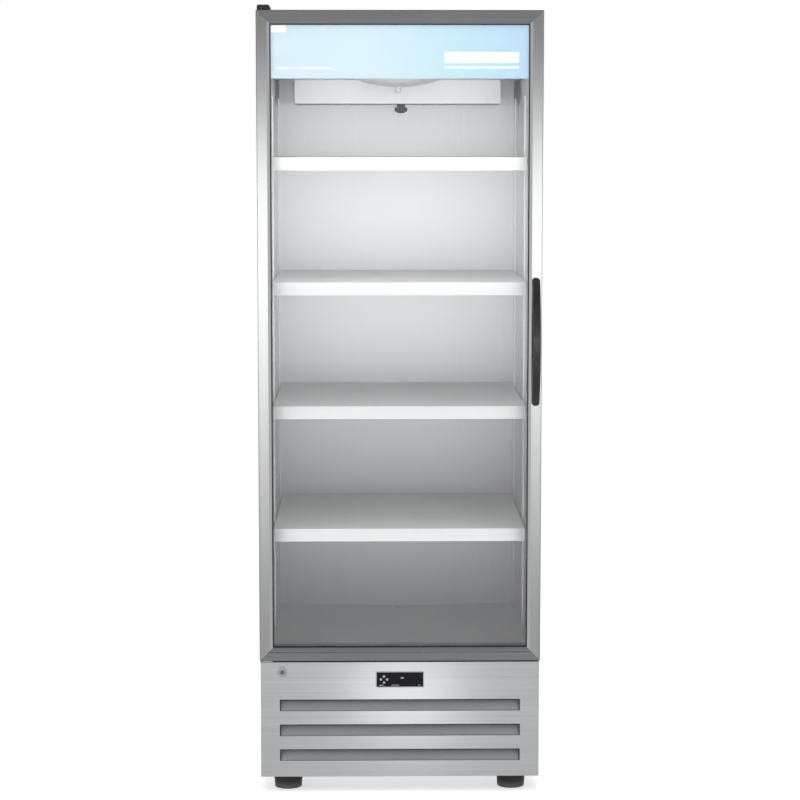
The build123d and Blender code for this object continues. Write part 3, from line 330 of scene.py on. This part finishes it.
def door_pane():
    """Clear glass with the faintest wiping marks."""
    made, tree, shader, place = new_material(
        "clear_glass", Transmission_Weight=1.0, IOR=1.45, Metallic=0.0
    )
    shader.inputs["Base Color"].default_value = (0.99, 0.993, 0.996, 1)
    wiped = add(tree, "ShaderNodeMapping", Vector=place, Scale=(3.0, 3.0, 9.0)).outputs[0]
    marks = add(tree, "ShaderNodeTexNoise", Vector=wiped, Scale=4.0, Detail=3.0)
    marked = calc(tree, "SUBTRACT", marks.outputs[0], 0.45, clamp=True)
    faint = calc(tree, "MULTIPLY", marked, 0.01)
    tree.links.new(faint, shader.inputs["Roughness"])
    return made


# how fast the scratches change along X, Y and Z: sheets brushed along X or Z, and turned metal
ALONG_X = (5.0, 700.0, 700.0)
ALONG_Z = (700.0, 700.0, 5.0)
TURNED = (300.0, 300.0, 300.0)

# tone, roughness, grain, and what differs from the usual brushed metal
BRUSHED = {
    "skin_steel": ((0.62, 0.625, 0.635), 0.34, ALONG_Z, {"depth": 0.26}),
    "front_steel": ((0.70, 0.71, 0.725), 0.36, ALONG_X, {"depth": 0.6}),
    "stile_steel": ((0.66, 0.665, 0.67), 0.13, ALONG_Z, {"depth": 0.3, "swing": 0.1}),
    # the door's top and bottom rails: the frame steel at about half the stiles' tone, painted
    # shade
    "rail_steel_painted_shade": ((0.34, 0.35, 0.365), 0.2, ALONG_X, {"depth": 0.4, "swing": 0.12}),
    "liner_steel": (
        (0.73, 0.735, 0.745),
        0.45,
        ALONG_Z,
        {"depth": 0.22, "swing": 0.08, "bump": 0.015},
    ),
    "fin_aluminium": ((0.74, 0.75, 0.76), 0.4, ALONG_Z, {}),
    "chrome": ((0.80, 0.805, 0.81), 0.1, TURNED, {"depth": 0.08, "swing": 0.06, "bump": 0.02}),
    "lock_face": ((0.26, 0.27, 0.28), 0.3, TURNED, {"depth": 0.3}),
}

# tone, roughness and crystal scale
ZINC_COATED = {
    "galvanised": ((0.56, 0.58, 0.60), 0.42, 75.0),
    "zinc": ((0.66, 0.66, 0.65), 0.3, 300.0),
}

# tone, roughness, pebble scale, and what differs from the usual moulded skin
MOULDED = {
    "foam": ((0.83, 0.73, 0.44), 0.85, 260.0, {"bump": 0.8, "tone_swing": 0.3}),
    "grey_plastic": ((0.50, 0.51, 0.52), 0.5, 1100.0, {}),
    "black_gloss": ((0.012, 0.012, 0.014), 0.16, 500.0, {"bump": 0.03, "Coat_Weight": 0.4}),
    "black_plastic": ((0.02, 0.02, 0.022), 0.5, 1000.0, {"bump": 0.4}),
    "shelf_paint": ((0.81, 0.81, 0.81), 0.38, 420.0, {"bump": 0.2, "tone_swing": 0.05}),
    "white_plastic": ((0.88, 0.89, 0.9), 0.35, 800.0, {"tone_swing": 0.04}),
    "compressor_paint": ((0.018, 0.018, 0.02), 0.32, 300.0, {"bump": 0.5}),
    "copper": (
        (0.72, 0.33, 0.18),
        0.3,
        200.0,
        {"swing": 0.3, "tone_swing": 0.45, "Metallic": 1.0},
    ),
    "foot_rubber": ((0.018, 0.018, 0.018), 0.62, 700.0, {"bump": 0.5}),
    "seal_rubber": ((0.022, 0.022, 0.024), 0.5, 900.0, {"bump": 0.3}),
    "gasket_rubber": ((0.2, 0.205, 0.21), 0.6, 900.0, {"bump": 0.3}),
    "display_black": (
        (0.008, 0.008, 0.01),
        0.12,
        600.0,
        {"bump": 0.01, "Specular_IOR_Level": 0.3},
    ),
    "bezel_silver": ((0.55, 0.56, 0.58), 0.33, 1400.0, {"bump": 0.12, "Metallic": 0.55}),
    "louvre_grey": ((0.30, 0.305, 0.315), 0.4, 500.0, {"bump": 0.25}),
}

FINISHES = {"clear_glass": door_pane()}
for name, (tone, roughness, grain, extra) in BRUSHED.items():
    FINISHES[name] = brushed_steel(name, tone, roughness, grain, **extra)
for name, (tone, roughness, crystal) in ZINC_COATED.items():
    FINISHES[name] = zinc_coated(name, tone, roughness, crystal)
for name, (tone, roughness, pebble, extra) in MOULDED.items():
    FINISHES[name] = moulded(name, tone, roughness, pebble, **extra)

# nodes whose finish differs from the one their record slot names
NODE_FINISHES = {
    "lock_plug": "lock_face",
    "front_panel": "front_steel",
    "door_stile_left": "stile_steel",
    "door_stile_right": "stile_steel",
    # the rails take the darker copy of the frame steel, painted shade
    "door_rail_top": "rail_steel_painted_shade",
    "door_rail_bottom": "rail_steel_painted_shade",
}

# tone, centre, reach and strength of the dust or wear on each finish
WORN = {
    "fin_aluminium": ((0.35, 0.33, 0.30), (-0.13, -0.21, 0.06), (0.3, 0.06, 0.1), 0.5),
    "foot_rubber": ((0.3, 0.29, 0.27), (0.0, -0.2, 0.0), (0.8, 0.8, 0.02), 0.5),
    "black_gloss": ((0.05, 0.05, 0.05), (0.343, -0.37, 1.17), (0.03, 0.03, 0.13), 0.6),
    "compressor_paint": ((0.2, 0.19, 0.17), (0.165, 0.135, 0.22), (0.12, 0.12, 0.05), 0.5),
}
for name, wear in WORN.items():
    dusted(FINISHES[name], *wear)

for name, shown in nodes.items():
    for holder in shown.material_slots:
        holder.material = FINISHES[NODE_FINISHES.get(name, holder.material.name)]


# ------------------------------------------------------------- printed pieces


HEADER_HALF = 0.323


def print_film():
    """Pale blue header film with a painted glow, standing in for the light of the cabinet lamp
    behind it and of the studio through the glass.
    """
    made, tree, shader, place = new_material("header_film", Emission_Strength=0.46)
    across = add(tree, "ShaderNodeSeparateXYZ", Vector=place).outputs["X"]
    share = add(
        tree, "ShaderNodeMapRange", Value=across, From_Min=-HEADER_HALF, From_Max=HEADER_HALF
    )
    ramp = add(tree, "ShaderNodeValToRGB", Fac=share.outputs[0])
    stops = ramp.color_ramp.elements
    stops[0].color = (0.70, 0.84, 0.92, 1)
    stops[1].color = (0.53, 0.74, 0.91, 1)
    for at, tone in ((0.35, (0.72, 0.87, 0.96, 1)), (0.7, (0.61, 0.83, 0.93, 1))):
        stops.new(at).color = tone
    skin = use(
        tree,
        MOULDED_SKIN,
        Place=place,
        Tone=ramp.outputs[0],
        Pebble_Scale=1500.0,
        Tone_Swing=0.03,
        Roughness=0.35,
        Roughness_Swing=0.1,
    )
    finish_with(tree, shader, skin, 0.05, 0.0001)
    # the film's colour is also given off as light: painted glow
    tree.links.new(skin.outputs["Colour"], shader.inputs["Emission Color"])
    return made


def lit_ink(name, tone, strength):
    """Opaque ink, paper or a small lamp that gives off its own light; on ink and paper this glow
    is painted light.
    """
    made = moulded(name, tone, 0.4, 1200.0, bump=0.05, tone_swing=0.04, Emission_Strength=strength)
    shader = made.node_tree.nodes["Principled BSDF"]
    shader.inputs["Emission Color"].default_value = (*tone, 1)
    return made


HEADER_FILM_PAINTED_GLOW = print_film()
# the header's white bars and its label glow with painted light
WHITE_INK_PAINTED_GLOW = lit_ink("white_ink_painted_glow", (0.9, 0.93, 0.95), 0.75)
LABEL_PAPER_PAINTED_GLOW = lit_ink("label_paper_painted_glow", (0.88, 0.88, 0.88), 0.7)
PINK_PAPER = moulded("pink_paper", (0.74, 0.28, 0.4), 0.5, 900.0)
YELLOW_PAPER = moulded("yellow_paper", (0.78, 0.68, 0.22), 0.5, 900.0)
PANEL_INK = lit_ink("panel_ink", (0.55, 0.58, 0.6), 0.25)
# black for the strips behind the air slots' edges: painted shadow
PAINTED_SHADOW_BLACK = moulded("slot_painted_shadow", (0.008, 0.008, 0.009), 0.6, 900.0)


def put_piece(name, mesh, material, body):
    """Adds a finished mesh as a piece that rides on a body."""
    mesh.materials.clear()
    mesh.materials.append(material)
    piece = bpy.data.objects.new(name, mesh)
    scene.collection.objects.link(piece)
    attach(piece, body)
    return piece


CORNER_STEPS = 5


def plate_outline(low, high, radius):
    """The outline of a plate in XZ, counter-clockwise from its upper right corner."""
    (x0, z0), (x1, z1) = low, high
    if radius <= 0:
        return [(x1, z1), (x0, z1), (x0, z0), (x1, z0)]
    centres = (
        (x1 - radius, z1 - radius, 0),
        (x0 + radius, z1 - radius, 90),
        (x0 + radius, z0 + radius, 180),
        (x1 - radius, z0 + radius, 270),
    )
    outline = []
    for x, z, start in centres:
        for step in range(CORNER_STEPS + 1):
            turn = math.radians(start + 90 * step / CORNER_STEPS)
            outline.append((x + radius * math.cos(turn), z + radius * math.sin(turn)))
    return outline


def plates(name, boxes, material, body, corner=0.0):
    """One piece of flat upright or lying plates, each given by its low and high corners."""
    work = bmesh.new()
    for (x0, y0, z0), (x1, y1, z1) in boxes:
        radius = min(corner, (x1 - x0) / 2.001, (z1 - z0) / 2.001)
        outline = plate_outline((x0, z0), (x1, z1), radius)
        near = [work.verts.new((x, y0, z)) for x, z in outline]
        far = [work.verts.new((x, y1, z)) for x, z in outline]
        work.faces.new(near)
        work.faces.new(far[::-1])
        count = len(outline)
        for i in range(count):
            j = (i + 1) % count
            work.faces.new((near[j], near[i], far[i], far[j]))
    bmesh.ops.recalc_face_normals(work, faces=work.faces)
    mesh = bpy.data.meshes.new(name)
    work.to_mesh(mesh)
    work.free()
    return put_piece(name, mesh, material, body)


def sheet_on_glass(x, z, front, thickness):
    """Corners of a plate that stands on the back of the outer pane."""
    return (x[0], front, z[0]), (x[1], front + thickness, z[1])


pane_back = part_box("outer_glass")[1].y
film_thickness = 0.25 * MM
film_front = pane_back + 0.25 * MM
film_z = (1829 * MM, 1961.5 * MM)
film = sheet_on_glass((-HEADER_HALF, HEADER_HALF), film_z, film_front, film_thickness)
plates("header_film", [film], HEADER_FILM_PAINTED_GLOW, "door")

ink_front = pane_back + 0.08 * MM
ink_thickness = 0.1 * MM
# X and Z limits of the broad bar, the thin bar under it, and the thin bar on the left
bar_limits = (
    ((0.112, 0.298), (1.868, 1.894)),
    ((0.112, 0.298), (1.8545, 1.8585)),
    ((-0.307, -0.168), (1.8535, 1.8555)),
)
bars = [sheet_on_glass(x, z, ink_front, ink_thickness) for x, z in bar_limits]
plates("header_bars", bars, WHITE_INK_PAINTED_GLOW, "door", corner=3 * MM)
label = sheet_on_glass((-0.322, -0.286), (1.944, 1.961), ink_front, ink_thickness)
plates("header_label", [label], LABEL_PAPER_PAINTED_GLOW, "door", corner=1.5 * MM)

sill_low, sill_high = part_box("front_sill")
sticker_z = (sill_high.z, sill_high.z + 0.2 * MM)
sticker_y = (sill_low.y + 0.006, sill_high.y - 0.001)
stickers = (
    ("sill_sticker_pink", (-0.083, -0.016), PINK_PAPER),
    ("sill_sticker_yellow", (-0.010, 0.091), YELLOW_PAPER),
)
for name, x, material in stickers:
    low = (x[0], sticker_y[0], sticker_z[0])
    high = (x[1], sticker_y[1], sticker_z[1])
    plates(name, [(low, high)], material, "cabinet")

window_low, window_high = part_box("display_window")
window_z = (window_low.z + window_high.z) / 2
mark_y = (window_low.y - 0.15 * MM, window_low.y - 0.02 * MM)
low_mark_z = (window_low.z + 3.2 * MM, window_low.z + 3.2 * MM + 1.0 * MM)
high_mark_z = (window_z + 3 * MM, window_z + 5 * MM)
# left edge, width and height limits of each mark
mark_limits = (
    (-0.053, 0.011, low_mark_z),
    (-0.022, 0.020, low_mark_z),
    (0.047, 0.006, low_mark_z),
    (0.002, 0.008, high_mark_z),
)
marks = []
for x, width, z in mark_limits:
    marks.append(((x, mark_y[0], z[0]), (x + width, mark_y[1], z[1])))
plates("display_marks", marks, PANEL_INK, "cabinet", corner=0.5 * MM)

# the air slots of the front panel, and thin black strips behind their top and side edges: painted
# shadow where the slot edges are in shade
SLOT_MIDDLES = (0.098, 0.1633, 0.2286)
SLOT_HEIGHT = 0.0306
SLOT_HALF = 0.309
shadow_shown = 2.6 * MM
shadow_hidden = 2 * MM
panel_sheet_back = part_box("front_panel")[0].y + 1.25 * MM
top_shadow_y = (panel_sheet_back, panel_sheet_back + 0.3 * MM)
side_shadow_y = (panel_sheet_back + 0.32 * MM, panel_sheet_back + 0.6 * MM)
shadow_strips = []
for slot_middle in SLOT_MIDDLES:
    slot_bottom = slot_middle - SLOT_HEIGHT / 2
    slot_top = slot_middle + SLOT_HEIGHT / 2
    low = (-SLOT_HALF, top_shadow_y[0], slot_top - shadow_shown)
    shadow_strips.append((low, (SLOT_HALF, top_shadow_y[1], slot_top + shadow_hidden)))
    for side in (-1, 1):
        edges = sorted((side * (SLOT_HALF - shadow_shown), side * (SLOT_HALF + shadow_hidden)))
        low = (edges[0], side_shadow_y[0], slot_bottom)
        shadow_strips.append((low, (edges[1], side_shadow_y[1], slot_top)))
plates("painted_slot_shadows", shadow_strips, PAINTED_SHADOW_BLACK, "cabinet")


# ------------------------------------------------------- geometry node pieces


def geometry_tree(name, inputs):
    """A geometry node tree with a mesh in and out, and its other named inputs."""
    tree = bpy.data.node_groups.new(name, "GeometryNodeTree")
    tree.interface.new_socket(name="Points", in_out="INPUT", socket_type="NodeSocketGeometry")
    for label, kind in inputs:
        tree.interface.new_socket(name=label, in_out="INPUT", socket_type=kind)
    tree.interface.new_socket(name="Piece", in_out="OUTPUT", socket_type="NodeSocketGeometry")
    return tree, tree.nodes.new("NodeGroupInput"), tree.nodes.new("NodeGroupOutput")


def send_copies(tree, source, sink, piece, **placing):
    """Puts a piece at each point, makes the copies real, and gives them the chosen material."""
    points = source.outputs["Points"]
    placed = add(tree, "GeometryNodeInstanceOnPoints", Points=points, Instance=piece, **placing)
    real = add(tree, "GeometryNodeRealizeInstances", Geometry=placed.outputs[0])
    finish = source.outputs["Finish"]
    painted = add(tree, "GeometryNodeSetMaterial", Geometry=real.outputs[0], Material=finish)
    tree.links.new(painted.outputs[0], sink.inputs[0])


def make_screw_heads():
    """A washer-head screw with a hexagon top at each point of the mesh."""
    tree, source, sink = geometry_tree(
        "screw_heads",
        [
            ("Head Radius", "NodeSocketFloat"),
            ("Head Height", "NodeSocketFloat"),
            ("Facing", "NodeSocketVector"),
            ("Finish", "NodeSocketMaterial"),
        ],
    )
    radius = source.outputs["Head Radius"]
    height = source.outputs["Head Height"]
    washer_height = calc(tree, "MULTIPLY", height, 0.35)
    washer = add(
        tree,
        "GeometryNodeMeshCone",
        Vertices=20,
        Radius_Bottom=radius,
        Radius_Top=calc(tree, "MULTIPLY", radius, 0.86),
        Depth=washer_height,
    )
    top = add(
        tree,
        "GeometryNodeMeshCone",
        Vertices=6,
        Radius_Bottom=calc(tree, "MULTIPLY", radius, 0.72),
        Radius_Top=calc(tree, "MULTIPLY", radius, 0.64),
        Depth=calc(tree, "MULTIPLY", height, 0.65),
    )
    lift = add(tree, "ShaderNodeCombineXYZ", Z=washer_height).outputs[0]
    hexagon = top.outputs["Mesh"]
    raised = add(tree, "GeometryNodeTransform", Geometry=hexagon, Translation=lift)
    head = tree.nodes.new("GeometryNodeJoinGeometry")
    tree.links.new(washer.outputs["Mesh"], head.inputs[0])
    tree.links.new(raised.outputs[0], head.inputs[0])
    turn = add(tree, "FunctionNodeEulerToRotation", Euler=source.outputs["Facing"]).outputs[0]
    send_copies(tree, source, sink, head.outputs[0], Rotation=turn)
    return tree


def make_ring_beads():
    """Round beads of rubber that follow rounded rectangles in the XZ plane."""
    tree, source, sink = geometry_tree(
        "ring_beads",
        [
            ("Width", "NodeSocketFloat"),
            ("Height", "NodeSocketFloat"),
            ("Corner", "NodeSocketFloat"),
            ("Bead Radius", "NodeSocketFloat"),
            ("Finish", "NodeSocketMaterial"),
        ],
    )
    width = source.outputs["Width"]
    height = source.outputs["Height"]
    corner = source.outputs["Corner"]
    bead_radius = source.outputs["Bead Radius"]
    outline = add(tree, "GeometryNodeCurvePrimitiveQuadrilateral", Width=width, Height=height)
    rounded = add(
        tree,
        "GeometryNodeFilletCurve",
        {"mode": "POLY"},
        Curve=outline.outputs[0],
        Radius=corner,
        Count=6,
    )
    quarter = (math.radians(90), 0, 0)
    flat = rounded.outputs[0]
    upright = add(tree, "GeometryNodeTransform", Geometry=flat, Rotation=quarter).outputs[0]
    section = add(tree, "GeometryNodeCurvePrimitiveCircle", Resolution=10, Radius=bead_radius)
    ring = section.outputs[0]
    bead = add(tree, "GeometryNodeCurveToMesh", Curve=upright, Profile_Curve=ring)
    send_copies(tree, source, sink, bead.outputs[0])
    return tree


SCREW_HEADS = make_screw_heads()
RING_BEADS = make_ring_beads()


def grow(name, tree, points, body, values):
    """Runs a geometry node tree on loose points and keeps the plain mesh that it makes."""
    seed = bpy.data.meshes.new(name + "_points")
    seed.from_pydata([Vector(p) for p in points], [], [])
    carrier = bpy.data.objects.new(name + "_points", seed)
    scene.collection.objects.link(carrier)
    modifier = carrier.modifiers.new("make", "NODES")
    modifier.node_group = tree
    for item in tree.interface.items_tree:
        if item.item_type == "SOCKET" and item.in_out == "INPUT" and item.name in values:
            modifier[item.identifier] = values[item.name]
    graph = bpy.context.evaluated_depsgraph_get()
    mesh = bpy.data.meshes.new_from_object(carrier.evaluated_get(graph))
    mesh.name = name
    bpy.data.objects.remove(carrier)
    bpy.data.meshes.remove(seed)
    return put_piece(name, mesh, values["Finish"], body)


back_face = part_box("back_panel")[1].y
screw_x = 0.352
# heights of the screws that hold the back sheet, and of those that hold the grille
screw_heights = [0.400 + 0.310 * row for row in range(6)] + [0.070, 0.185, 0.310]
screw_points = [(side * screw_x, back_face, z) for side in (-1, 1) for z in screw_heights]
screw_values = {
    "Head Radius": 4.6 * MM,
    "Head Height": 3.0 * MM,
    "Facing": Euler((math.radians(-90), 0.0, 0.0)),
    "Finish": FINISHES["zinc"],
}
grow("back_screws", SCREW_HEADS, screw_points, "cabinet", screw_values)

gasket_low, gasket_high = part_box("door_gasket")
gasket_mid = (gasket_low + gasket_high) / 2
bead_setback = 2.6 * MM
bead_inset = 1.0 * MM
bead_depths = (gasket_low.y + bead_setback, gasket_high.y - bead_setback)
bead_values = {
    "Width": gasket_high.x - gasket_low.x - bead_inset,
    "Height": gasket_high.z - gasket_low.z - bead_inset,
    "Corner": 2.5 * MM,
    "Bead Radius": 1.7 * MM,
    "Finish": FINISHES["gasket_rubber"],
}
bead_points = [(gasket_mid.x, y, gasket_mid.z) for y in bead_depths]
grow("gasket_bellows", RING_BEADS, bead_points, "door", bead_values)


# ------------------------------------------------------------- studio and camera


def studio_floor():
    """A pale plain floor that fades into the studio behind it."""
    made, tree, shader, place = new_material("studio_floor", Emission_Strength=0.55)
    skin = use(
        tree,
        MOULDED_SKIN,
        Place=place,
        Tone=(0.9, 0.9, 0.9, 1),
        Pebble_Scale=60.0,
        Tone_Swing=0.01,
        Roughness=0.75,
        Roughness_Swing=0.05,
    )
    finish_with(tree, shader, skin, 0.02, 0.0005)
    mesh = bpy.data.meshes.new("studio_floor")
    reach = 9.0
    corners = [(-reach, -reach, 0), (reach, -reach, 0), (reach, reach, 0), (-reach, reach, 0)]
    mesh.from_pydata(corners, [], [(0, 1, 2, 3)])
    mesh.materials.append(made)
    floor = bpy.data.objects.new("studio_floor", mesh)
    floor.visible_glossy = False
    scene.collection.objects.link(floor)


# how bright the studio is all round, and in front by the height of the direction looked in
SURROUND = 0.58
BAND_FLOOR = -0.4
BAND_CEILING = 0.2
BAND = (
    (-0.26, 0.38),
    (-0.20, 0.45),
    (-0.16, 0.75),
    (-0.125, 1.05),
    (-0.09, 1.45),
    (-0.06, 1.75),
    (-0.012, 1.80),
    (0.003, 1.05),
    (0.022, 0.38),
    (0.06, 0.16),
)


def eased(tree, value, start, end, top=1.0):
    """A smooth rise from 0 at start to top at end."""
    settings = {"interpolation_type": "SMOOTHSTEP"}
    made = add(
        tree, "ShaderNodeMapRange", settings, Value=value, From_Min=start, From_Max=end, To_Max=top
    )
    return made.outputs[0]


def studio_world():
    """A pale studio, with a soft bright band in front that the steel and the glass mirror."""
    world = bpy.data.worlds.new("studio")
    scene.world = world
    world.use_nodes = True
    tree = world.node_tree
    back = tree.nodes["Background"]
    towards = tree.nodes.new("ShaderNodeTexCoord").outputs["Generated"]
    way = add(tree, "ShaderNodeSeparateXYZ", Vector=towards).outputs
    height = add(
        tree, "ShaderNodeMapRange", Value=way["Z"], From_Min=BAND_FLOOR, From_Max=BAND_CEILING
    )
    band = add(tree, "ShaderNodeValToRGB", Fac=height.outputs[0])
    stops = band.color_ramp.elements
    stops[0].color = (0.45, 0.45, 0.45, 1)
    stops[1].color = (0.30, 0.30, 0.30, 1)
    for at, level in BAND:
        share = (at - BAND_FLOOR) / (BAND_CEILING - BAND_FLOOR)
        stops.new(share).color = (level, level, level, 1)
    front = eased(tree, way["Y"], -0.5, -0.9)
    glow = calc(tree, "SUBTRACT", band.outputs[0], SURROUND)
    level = calc(tree, "ADD", SURROUND, calc(tree, "MULTIPLY", glow, front))
    dim = eased(tree, calc(tree, "ABSOLUTE", way["X"]), 0.85, 0.98, top=0.5)
    strength = calc(tree, "MULTIPLY", level, calc(tree, "SUBTRACT", 1.0, dim))
    # plain white where the background is seen directly or through clear glass
    path = tree.nodes.new("ShaderNodeLightPath").outputs
    bounces = calc(tree, "ADD", path["Diffuse Depth"], path["Glossy Depth"])
    direct = calc(tree, "LESS_THAN", bounces, 0.5)
    through = calc(tree, "MULTIPLY", path["Is Transmission Ray"], direct)
    seen = calc(tree, "ADD", path["Is Camera Ray"], through, clamp=True)
    shown = add(tree, "ShaderNodeMix", {"data_type": "FLOAT"}, Factor=seen)
    tree.links.new(strength, shown.inputs[2])
    shown.inputs[3].default_value = 1.0
    tree.links.new(shown.outputs[0], back.inputs["Strength"])
    back.inputs["Color"].default_value = (1, 1, 1, 1)


def area_light(name, place, target, size, power, mirrored=False):
    """A soft rectangular light at a place, turned to its target and hidden from the camera."""
    light = bpy.data.lights.new(name, "AREA")
    light.shape = "RECTANGLE"
    light.size, light.size_y = size
    light.energy = power
    holder = bpy.data.objects.new(name, light)
    holder.location = place
    holder.rotation_euler = (Vector(target) - Vector(place)).to_track_quat("-Z", "Y").to_euler()
    holder.visible_camera = False
    holder.visible_glossy = mirrored
    scene.collection.objects.link(holder)
    return holder


def light_only(light, name, lit):
    """Keeps a light to some of the CAD nodes."""
    group = bpy.data.collections.new(name)
    for node_name in lit:
        group.objects.link(nodes[node_name])
    light.light_linking.receiver_collection = group


studio_floor()
studio_world()
area_light("left_softbox", (-2.6, -2.4, 2.3), (0, 0, 1.0), (1.4, 2.0), 16)
area_light("right_softbox", (2.6, -2.4, 2.3), (0, 0, 1.0), (1.4, 2.0), 13)
area_light("overhead_softbox", (0, -0.6, 3.6), (0, 0, 1.0), (2.6, 2.6), 30)
area_light("back_fill", (0, 3.2, 2.2), (0, 0, 1.0), (2.0, 2.0), 12)
panel_strip = area_light(
    "panel_strip", (0.02, -0.9, 0.11), (0.0, -0.3, 0.11), (0.26, 0.19), 0.21, mirrored=True
)
light_only(panel_strip, "lit_panel", ["front_panel"])

# one light just inside the doorway of each compartment, from the deck up to the lamp
interior_front = (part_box("door_inner_frame")[1].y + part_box("front_frame")[0].y) / 2
levels = [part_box("deck_pan")[1].z]
levels += [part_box(f"shelf_{n}")[1].z for n in (1, 2, 3, 4)]
levels += [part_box("lamp_dome")[0].z]
compartment_width = 0.62
compartment_power = (0.02, 0.12, 0.45, 0.64, 0.54)
shelf_power = (0.44, 0.36, 0.0, 0.0, 0.0)
for number, power in enumerate(compartment_power):
    low, high = levels[number], levels[number + 1]
    middle = (low + high) / 2
    facing = (0.0, 0.3, middle)
    size = (compartment_width, high - low - 2 * MM)
    spot = (0.0, interior_front, middle)
    area_light(f"compartment_light_{number + 1}", spot, facing, size, power, mirrored=True)
    if shelf_power[number]:
        # a little nearer the shelf, so that neither light hides the other
        nearer = (0.0, interior_front + 1 * MM, middle)
        extra = area_light(
            f"shelf_light_{number + 1}", nearer, facing, size, shelf_power[number]
        )
        light_only(extra, f"lit_shelves_{number + 1}", ["shelf_1", "shelf_2", "shelf_3"])

camera = bpy.data.cameras.new("camera")
camera.sensor_width = 36
camera.lens = 99.0
camera.shift_y = -0.05
camera.clip_end = 60
viewer = bpy.data.objects.new("camera", camera)
viewer.location = (-0.0798, -5.866, 1.664)
door_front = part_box("door_stile_left")[0].y
aim = Vector((0.0, door_front, 1.122))
viewer.rotation_euler = (aim - viewer.location).to_track_quat("-Z", "Y").to_euler()
scene.collection.objects.link(viewer)
scene.camera = viewer
scene.view_settings.view_transform = "Standard"
